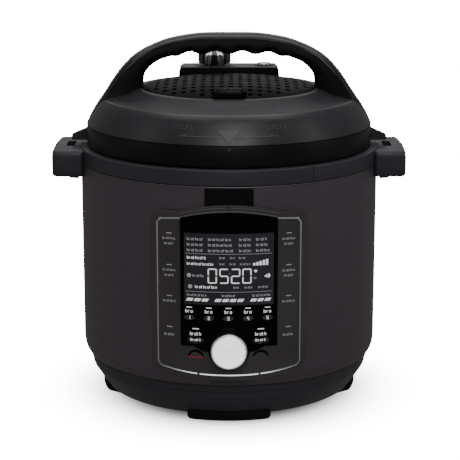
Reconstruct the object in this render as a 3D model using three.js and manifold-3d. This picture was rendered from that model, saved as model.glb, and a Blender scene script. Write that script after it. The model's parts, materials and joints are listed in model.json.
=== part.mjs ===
// Electric pressure cooker of the six litre class, closed, as it stands on a worktop.
// Millimetres, +Z up. The origin is on the worktop, on the pot's axis. The control panel faces -Y.

import * as THREE from 'three'
import { mergeVertices } from 'three/addons/utils/BufferGeometryUtils.js'
import Module from 'manifold-3d'

const wasm = await Module()
wasm.setup()

// ---------------------------------------------------------------- driving dimensions

const GAP = 0.3                 // clearance between pieces that touch
const ROUND = 36                // facets around the large turned pieces
const SMALL_ROUND = 16          // facets around knobs, valves and pins
const FULL_TURN = Math.PI * 2

const SHELL_RADIUS = 137
const SHELL_WALL = 1.2
const SHELL_TOP = 221
const SHELL_BOTTOM = 42.3
const SHELL_EDGE_HEIGHT = 13    // height of the rounding at the shell's lower edge
const SHELL_EDGE_INSET = 5      // how far that rounding pulls in

const BASE_TOP_RADIUS = 130.9
const BASE_KNEE = { radius: 129.3, z: 30 }
const BASE_BOTTOM_RADIUS = 116.3
const BASE_BOTTOM = 10
const BASE_FLOOR = 2.8
const FOOT_HALF_WIDTH = 37.3
const FOOT_RADIUS = 119.6       // outer face, a little proud of the tray's lower edge
const FOOT_LIP_TOP = 13.2
const FOOT_SOLE_RADIUS = 106
const FOOT_INNER_RADIUS = 95
const BASE_SLOTS = { count: 8, inner: 60, outer: 90, halfWidth: 2 }
const POST_CIRCLE = 80          // circle of the three posts that carry the inner chamber
const POST_RADIUS = 5
const SCREW_RADIUS = 2
const SCREW_BORE = 2.3

const RING_RADIUS = 137.4
const RING_TOP = 235.2
const RING_PLATE = 3
const RING_MOUTH_RADIUS = 127.5

const SIDE_HANDLE_TOP = 234
const SIDE_HANDLE_HEIGHT = 24
const SIDE_HANDLE_HALF_DEPTH = 40
const SIDE_HANDLE_REACH = 162.5     // outermost X, in the middle of the grip
const SIDE_HANDLE_END_REACH = 158.5 // X at the grip's front and rear corners
const FIN_SLOT = { inner: 142.5, outer: 150, halfDepth: 13, depth: 16 }

const CHAMBER_RADIUS = 115
const CHAMBER_FLOOR = 46
const CHAMBER_LEDGE = 207.5
const CHAMBER_MOUTH_RADIUS = 131.7
const CHAMBER_RIM = 231.7
const CHAMBER_WALL = 1
const CHAMBER_EYE = 6.5         // hole in the chamber's floor under the sensor
const HEATER_RADIUS = 90
const HEATER_EYE = 17
const SENSOR_RADIUS = 15.2
const SENSOR_DISC = 4
const SPRING = { radius: 9.2, wire: 0.9, turns: 2.5 }

const POT_RADIUS = 110
const POT_BOTTOM = 62.3
const POT_RIM = 222.3
const POT_RIM_RADIUS = 119.5
const POT_WALL = 1.2

const LUG_COUNT = 6
const LID_LUG_RADIUS = 125.4
const RING_LUG_RADIUS = 126.3
const RING_LUGS = { bottom: 226, top: 229 }
const LID_LUGS = { bottom: 219, top: 222 }
const LID_PLATE_RIM = 232       // underside of the lid plate over the pot's rim
const LID_PLATE_CROWN = 247.5

const LID_RADIUS = 131
const LID_WALL = 2.8
const LID_BOTTOM = 235.6
const LID_BAND_TOP = 255
const SHOULDER_RADIUS = 118.4
const SHOULDER_Z = 277
const CREST_RADIUS = 114.5
const CREST_Z = 279.4
const WELL_FLOOR = 283.5        // top of the floor under the diffuser
const WELL_FLOOR_WALL = 2.5
const FIN = { reach: 145.5, halfDepth: 4, bottom: 238, tip: 243, root: 250 }

const DIFFUSER_RADIUS = 80
const DIFFUSER_EDGE_Z = 287.3
const DIFFUSER_CROWN = 7.2
const DIFFUSER_WALL = 2.5
const VENT_PITCH = 22
const VENT_SIZE = 5

const HANDLE_TOP = 337.2
const HANDLE_HALF_DEPTH = 13.5
const HANDLE_FLARE = 13.5       // extra half depth at the arms' feet
const HANDLE_MOUTH_HALF = 78.8
const SCALLOP_PITCH = 24
const SCALLOP_DEPTH = 1.6
const SCALLOP_MEAN_Z = 319.2
const HANDLE_SCREW_X = 98
const HANDLE_SCREW_BORE = 2.4

const VALVE_BLOCK = { half: 48.5, front: 60, rear: 92, top: 297.2, wall: 2.5 }
const SLEEVE = { radius: 20.5, wall: 1.2, bore: 10.6, front: 60.5, rear: 91.5, bottom: 297.5, top: 310 }
const VALVE_X = -14
const FLOAT_X = 33.8
const VALVE_Y = 76
const VALVE_RADIUS = 15.8
const VALVE_TOP = 311.7
const VALVE_COLLAR_RADIUS = 12.5
const VALVE_COLLAR_Z = 286.7
const VALVE_LIFT = 2.5
const RAMP_FOOT = 67.6          // where the fork's ramps end, just short of the valve's collar
const FLOAT_RADIUS = 6.4
const FLOAT_TOP = 299.7

const PANEL_RADIUS = 140.2      // front surface of the bezel, concentric with the shell
const TRIM_HALF = 62.4
const TRIM_TOP = 193.5
const TRIM_BOTTOM = 54.3
const TRIM_WIDTH = 1.8
const PANEL_BORDER = 5
const OVERLAY_HALF = 43.5
const OVERLAY_BOTTOM = 84
const ARCH_TOP = 202.5
const PANEL_OPENING = { half: 57, bottom: 62, top: 190 }
const PANEL_SPAN = [-160, -100] // Y range that takes in every piece of the panel
const SCREEN = { half: 40, bottom: 119, top: 183, front: -129.5, back: -122 }
const BOARD = { front: -119.6, back: -118 }
const DIAL_Z = 79
const DIAL_RADIUS = 15.8
const DIAL_FRONT = -152
const DIAL_BACK = -142.3
const DIAL_SOCKET = 3           // depth of the cap in front of the shaft
const SHAFT_RADIUS = 2.9
const SHAFT_BACK = -124.5
const PLUNGER = { radius: 4.7, front: -124.2, back: -122.2 }

const COLLECTOR = { half: 36, bottom: 150, top: 205, inner: 138.4, outer: 152, wall: 1.8 }
const INLET = { half: 14, bottom: 59, top: 83, back: 117.5, face: 139.5, wall: 2.5, flange: 5 }

// ---------------------------------------------------------------- finishes

const finish = (color, roughness, metalness = 0) => ({ color, roughness, metalness })
const DARK_STEEL = finish(0x363133, 0.36, 0.85)
const BRIGHT_STEEL = finish(0xb9bbbd, 0.28, 1)
const ALUMINIUM = finish(0xc6c7c9, 0.35, 1)
const MATT_BLACK = finish(0x1c1c1d, 0.55)
const SOFT_BLACK = finish(0x161617, 0.8)
const GLOSS_BLACK = finish(0x09090a, 0.12)
const SILVER_TRIM = finish(0xc9cacc, 0.3, 0.9)
const SILICONE = finish(0xd9dad8, 0.6)
const CLEAR_GREY = finish(0x8e9294, 0.25)
const BOARD_GREEN = finish(0x1f5a3a, 0.6)
const DISPLAY_GREY = finish(0x4b4a4f, 0.3)

// ---------------------------------------------------------------- solids

// A closed three.js geometry as a solid. The winding is turned where the faces point inwards.
function solid(geometry) {
  const bare = new THREE.BufferGeometry()
  bare.setAttribute('position', geometry.getAttribute('position'))
  if (geometry.index) bare.setIndex(geometry.index)
  const merged = mergeVertices(bare, 1e-4)
  const position = merged.getAttribute('position')
  const corners = []
  let volume = 0
  for (let i = 0; i < merged.index.count; i += 3) {
    const [a, b, c] = [0, 1, 2].map((k) => merged.index.getX(i + k))
    if (a === b || b === c || c === a) continue
    corners.push(a, b, c)
    const [pa, pb, pc] = [a, b, c].map((k) => new THREE.Vector3().fromBufferAttribute(position, k))
    volume += pa.dot(pb.cross(pc))
  }
  if (volume < 0) {
    for (let i = 0; i < corners.length; i += 3) {
      [corners[i], corners[i + 1]] = [corners[i + 1], corners[i]]
    }
  }
  const mesh = new wasm.Mesh({
    numProp: 3,
    vertProperties: new Float32Array(position.array),
    triVerts: new Uint32Array(corners),
  })
  mesh.merge()
  return new wasm.Manifold(mesh)
}

const join = (...pieces) => pieces.reduce((whole, piece) => whole.add(piece))
const cut = (piece, ...tools) => tools.reduce((rest, tool) => rest.subtract(tool), piece)

// A solid turned about Z from a profile of [radius, z] points.
function turned(profile, segments = ROUND) {
  const points = profile.map(([radius, z]) => new THREE.Vector2(radius, z))
  return solid(new THREE.LatheGeometry(points, segments).rotateX(Math.PI / 2))
}

// The same for a profile that closes on itself away from the axis.
const turnedRing = (profile, segments) => turned([...profile, profile[0]], segments)

const tubeRing = (inner, outer, bottom, top, segments) => turnedRing(
  [[inner, bottom], [outer, bottom], [outer, top], [inner, top]], segments)

function shapeOf(points) {
  return new THREE.Shape(points.map(([x, y]) => new THREE.Vector2(x, y)))
}

// A plan outline in XY raised from bottom to top.
function prism(outline, bottom, top) {
  const options = { depth: top - bottom, bevelEnabled: false, curveSegments: 6 }
  return solid(new THREE.ExtrudeGeometry(shapeOf(outline), options).translate(0, 0, bottom))
}

// A front outline in XZ carried from front to back along Y.
function slab(outline, front, back) {
  const options = { depth: back - front, bevelEnabled: false, curveSegments: 6 }
  const geometry = new THREE.ExtrudeGeometry(shapeOf(outline), options)
  return solid(geometry.rotateX(Math.PI / 2).translate(0, back, 0))
}

function block(x0, x1, y0, y1, z0, z1) {
  const geometry = new THREE.BoxGeometry(x1 - x0, y1 - y0, z1 - z0)
  return solid(geometry.translate((x0 + x1) / 2, (y0 + y1) / 2, (z0 + z1) / 2))
}

function upright(x, y, radius, bottom, top, segments = SMALL_ROUND) {
  const geometry = new THREE.CylinderGeometry(radius, radius, top - bottom, segments)
  return solid(geometry.rotateX(Math.PI / 2).translate(x, y, (bottom + top) / 2))
}

// A cylinder along Y.
function axial(x, z, radius, front, back, segments = SMALL_ROUND) {
  const geometry = new THREE.CylinderGeometry(radius, radius, back - front, segments)
  return solid(geometry.translate(x, (front + back) / 2, z))
}

// A wedge of the full circle, from the axis out to a radius, for cutting lugs and feet.
function sector(middle, width, radius, bottom, top) {
  const outline = [[0, 0]]
  for (const step of [-0.5, -0.25, 0, 0.25, 0.5]) {
    const angle = middle + width * step
    outline.push([radius * Math.cos(angle), radius * Math.sin(angle)])
  }
  return prism(outline, bottom, top)
}

const turnedBy = (piece, angle) => piece.rotate([0, 0, angle * 180 / Math.PI])
const mirrored = (points) => points.map(([x, z]) => [-x, z]).reverse()

// ---------------------------------------------------------------- scene graph

const cooker = new THREE.Group()

function part(name, body, look) {
  const mesh = body.getMesh()
  const geometry = new THREE.BufferGeometry()
  geometry.setAttribute('position', new THREE.BufferAttribute(mesh.vertProperties, 3))
  geometry.setIndex(new THREE.BufferAttribute(mesh.triVerts, 1))
  geometry.computeVertexNormals()
  const object = new THREE.Mesh(geometry, new THREE.MeshStandardMaterial(look))
  object.name = name
  cooker.add(object)
}

// ---------------------------------------------------------------- casing

// The rounding at the shell's foot, as [radius, z] points from the wall inwards.
function shellEdge(wall) {
  const points = []
  for (let i = 0; i <= 4; i += 1) {
    const angle = (i / 4) * (Math.PI / 2)
    points.push([
      SHELL_RADIUS - SHELL_EDGE_INSET + (SHELL_EDGE_INSET - wall) * Math.cos(angle),
      SHELL_BOTTOM + SHELL_EDGE_HEIGHT - (SHELL_EDGE_HEIGHT - wall) * Math.sin(angle),
    ])
  }
  return points
}

function outerShell() {
  const wall = turnedRing([
    [SHELL_RADIUS, SHELL_TOP],
    ...shellEdge(0),
    ...shellEdge(SHELL_WALL).reverse(),
    [SHELL_RADIUS - SHELL_WALL, SHELL_TOP],
  ])
  const { half, bottom, top } = PANEL_OPENING
  const panelOpening = block(-half, half, ...PANEL_SPAN, bottom, top)
  const room = 1.5
  const inletOpening = block(-INLET.half - room, INLET.half + room, INLET.back, INLET.face,
    INLET.bottom - room, INLET.top + room)
  return cut(wall, panelOpening, inletOpening)
}

function baseHousing() {
  const upstandTop = 52
  const upstand = BASE_TOP_RADIUS - 0.5
  const top = SHELL_BOTTOM - GAP
  const tray = turned([
    [0, BASE_BOTTOM],
    [BASE_BOTTOM_RADIUS, BASE_BOTTOM],
    [BASE_KNEE.radius, BASE_KNEE.z],
    [BASE_TOP_RADIUS, top],
    [upstand, top],
    [upstand, upstandTop],
    [upstand - 2, upstandTop],
    [upstand - 2, top],
    [BASE_KNEE.radius - 2.5, BASE_KNEE.z],
    [BASE_BOTTOM_RADIUS - 2, BASE_BOTTOM + BASE_FLOOR],
    [0, BASE_BOTTOM + BASE_FLOOR],
  ])
  const slots = []
  const { count, inner, outer, halfWidth } = BASE_SLOTS
  for (let i = 0; i < count; i += 1) {
    const slot = block(inner, outer, -halfWidth, halfWidth, 0, BASE_BOTTOM + BASE_FLOOR + 1)
    slots.push(turnedBy(slot, (i + 0.5) * FULL_TURN / count))
  }
  const screwHoles = postPlaces().map(([x, y]) => upright(x, y, SCREW_BORE, 0, 20, 12))
  return cut(tray, ...slots, ...screwHoles)
}

function postPlaces() {
  return [1 / 4, 7 / 12, 11 / 12].map((turn) => [
    POST_CIRCLE * Math.cos(turn * FULL_TURN),
    POST_CIRCLE * Math.sin(turn * FULL_TURN),
  ])
}

function foot(middle) {
  const top = BASE_BOTTOM - 1.2 * GAP
  const pad = turnedRing([
    [FOOT_INNER_RADIUS, 0],
    [FOOT_SOLE_RADIUS, 0],
    [FOOT_RADIUS - 2.1, 4.6],
    [FOOT_RADIUS, 6.6],
    [FOOT_RADIUS, FOOT_LIP_TOP],
    [FOOT_RADIUS - 0.4, FOOT_LIP_TOP],
    [BASE_BOTTOM_RADIUS + 0.5, top],
    [FOOT_INNER_RADIUS, top],
  ])
  const width = 2 * Math.asin(FOOT_HALF_WIDTH / FOOT_RADIUS)
  return pad.intersect(sector(middle, width, BASE_TOP_RADIUS, -1, FOOT_LIP_TOP + 1))
}

function topRing() {
  const inner = CHAMBER_MOUTH_RADIUS + 1.9
  return turnedRing([
    [RING_RADIUS - 0.4, SHELL_TOP + GAP],
    [RING_RADIUS, SHELL_TOP + 2],
    [RING_RADIUS, RING_TOP - 1.7],
    [RING_RADIUS - 1.5, RING_TOP],
    [RING_MOUTH_RADIUS, RING_TOP],
    [RING_MOUTH_RADIUS, RING_TOP - RING_PLATE],
    [inner, RING_TOP - RING_PLATE],
    [inner, SHELL_TOP + GAP],
  ])
}

function sideHandle(side) {
  const root = RING_RADIUS - 12
  const outline = [[root, -SIDE_HANDLE_HALF_DEPTH]]
  const bulge = SIDE_HANDLE_REACH - SIDE_HANDLE_END_REACH
  for (let i = 0; i <= 8; i += 1) {
    const along = i / 4 - 1
    outline.push([SIDE_HANDLE_REACH - bulge * along * along, SIDE_HANDLE_HALF_DEPTH * along])
  }
  outline.push([root, SIDE_HANDLE_HALF_DEPTH])
  const bottom = SIDE_HANDLE_TOP - SIDE_HANDLE_HEIGHT
  const grip = prism(outline, bottom, SIDE_HANDLE_TOP)
  const ringClearance = turned([
    [0, bottom - 1],
    [RING_RADIUS + GAP, bottom - 1],
    [RING_RADIUS + GAP, SIDE_HANDLE_TOP + 1],
    [0, SIDE_HANDLE_TOP + 1],
  ])
  const slot = block(FIN_SLOT.inner, FIN_SLOT.outer, -FIN_SLOT.halfDepth, FIN_SLOT.halfDepth,
    SIDE_HANDLE_TOP - FIN_SLOT.depth, SIDE_HANDLE_TOP + 1)
  const whole = cut(grip, ringClearance, slot)
  return side > 0 ? whole : whole.mirror([1, 0, 0])
}

function innerChamber() {
  const wall = CHAMBER_WALL
  const cup = turnedRing([
    [CHAMBER_EYE, CHAMBER_FLOOR],
    [CHAMBER_RADIUS - 2, CHAMBER_FLOOR],
    [CHAMBER_RADIUS, CHAMBER_FLOOR + 2],
    [CHAMBER_RADIUS, CHAMBER_LEDGE],
    [CHAMBER_MOUTH_RADIUS, CHAMBER_LEDGE],
    [CHAMBER_MOUTH_RADIUS, CHAMBER_RIM],
    [CHAMBER_MOUTH_RADIUS - wall, CHAMBER_RIM],
    [CHAMBER_MOUTH_RADIUS - wall, CHAMBER_LEDGE + wall],
    [CHAMBER_RADIUS - wall, CHAMBER_LEDGE + wall],
    [CHAMBER_RADIUS - wall, CHAMBER_FLOOR + 2.5],
    [CHAMBER_RADIUS - 2.5, CHAMBER_FLOOR + wall],
    [CHAMBER_EYE, CHAMBER_FLOOR + wall],
  ])
  const bottom = BASE_BOTTOM + BASE_FLOOR + GAP
  const posts = postPlaces().map(
    ([x, y]) => upright(x, y, POST_RADIUS, bottom, CHAMBER_FLOOR + wall / 2, 12))
  const bores = postPlaces().map(([x, y]) => upright(x, y, SCREW_BORE, 0, 30, 12))
  return cut(join(cup, ...posts), ...bores)
}

// A screw standing on its head: the head's top is under the piece that it holds.
function screw([x, y], headRadius, headTop, end) {
  const head = upright(x, y, headRadius, headTop - 2.4, headTop, 12)
  return join(head, upright(x, y, SCREW_RADIUS, headTop - 1, end, 12))
}

const baseScrew = (place) => screw(place, 4.4, BASE_BOTTOM - GAP, 28)

function lugs(inner, outer, bottom, top, width, phase) {
  const ring = tubeRing(inner, outer, bottom, top)
  const pieces = []
  for (let i = 0; i < LUG_COUNT; i += 1) {
    const middle = phase + i * FULL_TURN / LUG_COUNT
    pieces.push(ring.intersect(sector(middle, width, outer + 5, bottom - 1, top + 1)))
  }
  return join(...pieces)
}

function bayonetRing() {
  const outer = CHAMBER_MOUTH_RADIUS - CHAMBER_WALL - GAP
  const band = tubeRing(RING_LUG_RADIUS + 1.9, outer, LID_LUGS.top, CHAMBER_RIM)
  const { bottom, top } = RING_LUGS
  return join(band, lugs(RING_LUG_RADIUS, outer - 0.5, bottom, top, FULL_TURN / 12, 0))
}

// ---------------------------------------------------------------- heating and electrics

function heatingPlate() {
  const top = POT_BOTTOM - GAP
  const under = top - 10
  const foot = CHAMBER_FLOOR + CHAMBER_WALL + GAP
  const footOuter = HEATER_RADIUS - 15
  const footInner = footOuter - 13
  return turnedRing([
    [HEATER_EYE, top],
    [HEATER_RADIUS - 5, top],
    [HEATER_RADIUS, top - 2],
    [HEATER_RADIUS, under + 2],
    [footOuter, under],
    [footOuter, foot],
    [footInner, foot],
    [footInner, under],
    [HEATER_EYE, under],
  ])
}

function temperatureSensor() {
  const top = POT_BOTTOM - GAP
  const under = top - SENSOR_DISC
  const stem = CHAMBER_EYE - 1.5
  const foot = CHAMBER_FLOOR + 3.6
  return turned([
    [0, top],
    [SENSOR_RADIUS, top],
    [SENSOR_RADIUS, under],
    [stem, under],
    [stem, foot],
    [0, foot],
  ], SMALL_ROUND)
}

// The sensor's spring, from the chamber's floor up to the sensor's disc.
function sensorSpring() {
  const { radius, wire, turns } = SPRING
  const steps = 30
  const bottom = CHAMBER_FLOOR + CHAMBER_WALL + GAP + wire
  const rise = POT_BOTTOM - SENSOR_DISC - 3 * GAP - wire - bottom
  const points = []
  for (let i = 0; i <= steps; i += 1) {
    const part = i / steps
    const angle = part * turns * FULL_TURN
    points.push(new THREE.Vector3(radius * Math.cos(angle), radius * Math.sin(angle),
      bottom + rise * part))
  }
  const section = new THREE.Shape().absarc(0, 0, wire, 0, FULL_TURN)
  const path = new THREE.CatmullRomCurve3(points)
  return solid(new THREE.ExtrudeGeometry(section, {
    steps, extrudePath: path, bevelEnabled: false, curveSegments: 4,
  }))
}

function pressureSwitch() {
  const floor = BASE_BOTTOM + BASE_FLOOR + GAP
  return join(
    block(-15, 15, 40, 62, 24, 41),
    block(-11, 11, 44, 58, floor, 24.5),
    upright(0, 51, 2, 40, CHAMBER_FLOOR - GAP, 12),
  )
}

function powerBoard() {
  const floor = BASE_BOTTOM + BASE_FLOOR + GAP
  const legs = [[-40, -70], [40, -70], [-40, -20], [40, -20]].map(
    ([x, y]) => upright(x, y, 3, floor, 18.5, 8))
  return join(
    block(-45, 45, -75, -15, 18, 19.6),
    ...legs,
    block(-38, -18, -62, -44, 19, 35),
    block(-8, 14, -66, -44, 19, 40),
    upright(28, -40, 6, 19, 38, 12),
    upright(28, -58, 4.5, 19, 34, 12),
    block(-34, -6, -34, -24, 19, 31),
  )
}

function mainsInlet() {
  const { half, bottom, top, back, face, wall, flange } = INLET
  const flangeBack = SHELL_RADIUS + GAP
  const body = join(
    block(-half, half, back, face, bottom, top),
    block(-half - flange, half + flange, flangeBack, face, bottom - flange, top + flange),
  )
  const recess = block(wall - half, half - wall, back + 3, face + 1, bottom + wall, top - wall)
  const middle = (bottom + top) / 2
  const pins = [[-6, -3], [6, -3], [0, 4]].map(
    ([x, z]) => block(x - 1, x + 1, back + 2, back + 14, middle + z - 2, middle + z + 2))
  return join(cut(body, recess), ...pins)
}

// ---------------------------------------------------------------- control panel

// Front outline of the silver trim line, grown outwards by a border.
function panelOutline(border) {
  const half = TRIM_HALF + border
  const low = []
  for (let i = 0; i <= 8; i += 1) {
    const x = half * (i / 4 - 1)
    low.push([x * 0.97, TRIM_BOTTOM - border + 7.2 * (x / half) ** 2])
  }
  const rise = ARCH_TOP - TRIM_TOP
  const high = []
  for (let i = 0; i <= 8; i += 1) {
    const along = 1 - i / 4
    const z = TRIM_TOP + border + rise * (1 - along * along)
    high.push([OVERLAY_HALF * along, z])
  }
  return [
    ...low,
    [half, TRIM_BOTTOM - border + 11],
    [half, TRIM_TOP + border - 4],
    [half - 4, TRIM_TOP + border],
    ...high,
    [4 - half, TRIM_TOP + border],
    [-half, TRIM_TOP + border - 4],
    [-half, TRIM_BOTTOM - border + 11],
  ]
}

const panelFront = (outline) => slab(outline, ...PANEL_SPAN)

// A block that fills the shell's panel opening, less an inset, back to the given Y.
function openingBlock(inset, back) {
  const { half, bottom, top } = PANEL_OPENING
  return block(inset - half, half - inset, PANEL_SPAN[0], back, bottom + inset, top - inset)
}

function panelBezel() {
  const face = tubeRing(SHELL_RADIUS + GAP, PANEL_RADIUS, 30, 220)
    .intersect(panelFront(panelOutline(PANEL_BORDER)))
  const frame = cut(openingBlock(1, -124), openingBlock(4, -100))
    .intersect(tubeRing(100, PANEL_RADIUS - 1, 30, 220))
  const { half, bottom, top } = SCREEN
  const window = block(-half - 1, half + 1, ...PANEL_SPAN, bottom - 1, top + 1)
  return cut(join(face, frame), window, axial(0, DIAL_Z, 4, ...PANEL_SPAN, 16))
}

function overlayLens() {
  const outline = panelOutline(-1.5).filter(([, z]) => z > TRIM_TOP - 2)
    .filter(([x]) => Math.abs(x) <= OVERLAY_HALF)
  const sheet = tubeRing(PANEL_RADIUS + GAP, PANEL_RADIUS + 1.1, 30, 220)
    .intersect(panelFront([
      [-OVERLAY_HALF, OVERLAY_BOTTOM],
      [OVERLAY_HALF, OVERLAY_BOTTOM],
      ...outline,
    ]))
  return cut(sheet, axial(0, DIAL_Z, DIAL_RADIUS + 3, ...PANEL_SPAN, 24))
}

function frameTrim() {
  const band = tubeRing(PANEL_RADIUS + GAP, PANEL_RADIUS + 1.4, 30, 220)
  const loop = cut(
    band.intersect(panelFront(panelOutline(0))),
    panelFront(panelOutline(-TRIM_WIDTH)),
  )
  const gapAtArch = block(-OVERLAY_HALF - 1, OVERLAY_HALF + 1, ...PANEL_SPAN, TRIM_TOP - 10, 220)
  return cut(loop, gapAtArch)
}

function archTrim() {
  const band = tubeRing(PANEL_RADIUS + GAP, PANEL_RADIUS + 1.2, 30, 220)
  const arch = cut(
    band.intersect(panelFront(panelOutline(0))),
    panelFront(panelOutline(-1.1)),
  )
  return arch.intersect(block(-OVERLAY_HALF, OVERLAY_HALF, ...PANEL_SPAN, TRIM_TOP - 0.9, 220))
}

function displayModule() {
  const { half, bottom, top, front, back } = SCREEN
  return block(-half, half, front, back, bottom, top)
}

function controlBoard() {
  const { half, bottom, top } = PANEL_OPENING
  const board = block(7 - half, half - 7, BOARD.front, BOARD.back, bottom + 4, top - 4)
  const connector = block(-30, -10, SCREEN.back + 0.5, BOARD.front + 0.5, 96, 104)
  return join(board, connector)
}

function encoderBody() {
  const half = 7
  const front = -128
  const body = block(-half, half, front, BOARD.front - GAP, DIAL_Z - half, DIAL_Z + half)
  const bore = axial(0, DIAL_Z, SHAFT_RADIUS + 0.6, front - 1, SHAFT_BACK, 16)
  const chamber = axial(0, DIAL_Z, PLUNGER.radius + 0.5, front + 1.5, BOARD.front - 1.4, 16)
  return cut(body, bore, chamber)
}

const encoderPlunger = () => axial(0, DIAL_Z, PLUNGER.radius, PLUNGER.front, PLUNGER.back)

const dialShaft = () => axial(0, DIAL_Z, SHAFT_RADIUS, DIAL_FRONT + DIAL_SOCKET + GAP, SHAFT_BACK)

function dialKnob() {
  const depth = DIAL_BACK - DIAL_FRONT
  const edge = 1.2
  const bore = SHAFT_RADIUS + GAP
  const knob = turned([
    [0, 0],
    [DIAL_RADIUS - edge, 0],
    [DIAL_RADIUS, edge],
    [DIAL_RADIUS, depth],
    [bore, depth],
    [bore, DIAL_SOCKET],
    [0, DIAL_SOCKET],
  ], 24)
  return knob.rotate([-90, 0, 0]).translate([0, DIAL_FRONT, DIAL_Z])
}

// ---------------------------------------------------------------- rear fittings

const behind = (half, bottom, top) => block(-half, half, 60, 170, bottom, top)

function condensationCollector() {
  const { half, bottom, top, inner, outer, wall } = COLLECTOR
  const body = tubeRing(inner, outer, bottom, top).intersect(behind(half, bottom, top))
  const hollow = tubeRing(inner + wall, outer - wall, bottom + wall, top + 5)
    .intersect(behind(half - wall, bottom, top + 5))
  return cut(body, hollow)
}

function collectorMount() {
  const { half, bottom, top, inner, wall } = COLLECTOR
  const border = 4
  const plate = tubeRing(SHELL_RADIUS + GAP, inner - GAP, bottom - border, top + 1)
    .intersect(behind(half + border, bottom - border, top + 1))
  const rails = tubeRing(SHELL_RADIUS + GAP, inner + 4 * wall, bottom + 20, top - 5)
    .intersect(behind(half + border, bottom, top))
  return join(plate, cut(rails, behind(half + 2 * GAP, bottom, top)))
}

// ---------------------------------------------------------------- pot and seal

function innerPot() {
  const inside = POT_RADIUS - POT_WALL
  const corner = 6
  return turned([
    [0, POT_BOTTOM],
    [POT_RADIUS - corner, POT_BOTTOM],
    [POT_RADIUS - 0.3 * corner, POT_BOTTOM + 0.3 * corner],
    [POT_RADIUS, POT_BOTTOM + corner],
    [POT_RADIUS, POT_RIM - 1.5],
    [POT_RIM_RADIUS, POT_RIM - 1.5],
    [POT_RIM_RADIUS, POT_RIM],
    [inside, POT_RIM],
    [inside, POT_BOTTOM + corner + 0.2],
    [inside - 0.3 * corner, POT_BOTTOM + 0.5 * corner],
    [POT_RADIUS - corner - 0.2, POT_BOTTOM + POT_WALL],
    [0, POT_BOTTOM + POT_WALL],
  ])
}

function sealingRing() {
  const outer = POT_RIM_RADIUS + 0.5
  const inner = POT_RADIUS + 0.6
  return turnedRing([
    [inner + 1, POT_RIM + GAP],
    [outer - 1, POT_RIM + GAP],
    [outer, POT_RIM + 2],
    [outer, LID_PLATE_RIM - GAP],
    [inner, LID_PLATE_RIM - GAP],
    [inner, POT_RIM + 2],
  ])
}

function sealRack() {
  const middle = POT_RADIUS - 1.7
  const hoop = tubeRing(middle - 1.5, middle + 1.5, 226, 229)
  const posts = []
  for (let i = 0; i < LUG_COUNT; i += 1) {
    const post = upright(middle, 0, 1.4, 228, LID_PLATE_RIM - GAP, 8)
    posts.push(turnedBy(post, i * FULL_TURN / LUG_COUNT))
  }
  return join(hoop, ...posts)
}

// ---------------------------------------------------------------- lid

function lidPlate() {
  const wall = 1.5
  const skirt = LID_LUG_RADIUS - 1.2
  const skirtFoot = LID_LUGS.bottom - 0.5
  const dish = turned([
    [0, LID_PLATE_CROWN],
    [60, LID_PLATE_CROWN - wall],
    [98, LID_PLATE_CROWN - 8.5],
    [104, LID_PLATE_RIM + wall],
    [skirt - wall, LID_PLATE_RIM + wall],
    [skirt, LID_PLATE_RIM],
    [skirt, skirtFoot],
    [skirt - wall, skirtFoot],
    [skirt - wall, LID_PLATE_RIM],
    [104.8, LID_PLATE_RIM],
    [99, LID_PLATE_CROWN - 10],
    [60, LID_PLATE_CROWN - 2 * wall],
    [0, LID_PLATE_CROWN - wall],
  ])
  const { bottom, top } = LID_LUGS
  const bayonet = lugs(skirt - 0.5, LID_LUG_RADIUS, bottom, top, FULL_TURN / 14, FULL_TURN / 12)
  const holes = [[VALVE_X, VALVE_Y, 4.6], [FLOAT_X, VALVE_Y, 4], [0, 0, 2.6]]
  const drills = holes.map(([x, y, radius]) => upright(x, y, radius, 200, 260, 12))
  return cut(join(dish, bayonet), ...drills)
}

// The lid's outer surface from the lower edge to the axis, grown outwards by a margin.
function lidOutside(margin) {
  return [
    [LID_RADIUS - 0.4 + margin, LID_BOTTOM],
    [LID_RADIUS + margin, LID_BOTTOM + 4],
    [LID_RADIUS + margin, LID_BAND_TOP],
    [SHOULDER_RADIUS + margin, SHOULDER_Z + margin],
    [CREST_RADIUS + margin, CREST_Z + margin],
    [DIFFUSER_RADIUS + GAP, DIFFUSER_EDGE_Z + GAP + margin],
    [0, DIFFUSER_EDGE_Z + GAP + margin],
  ]
}

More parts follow.
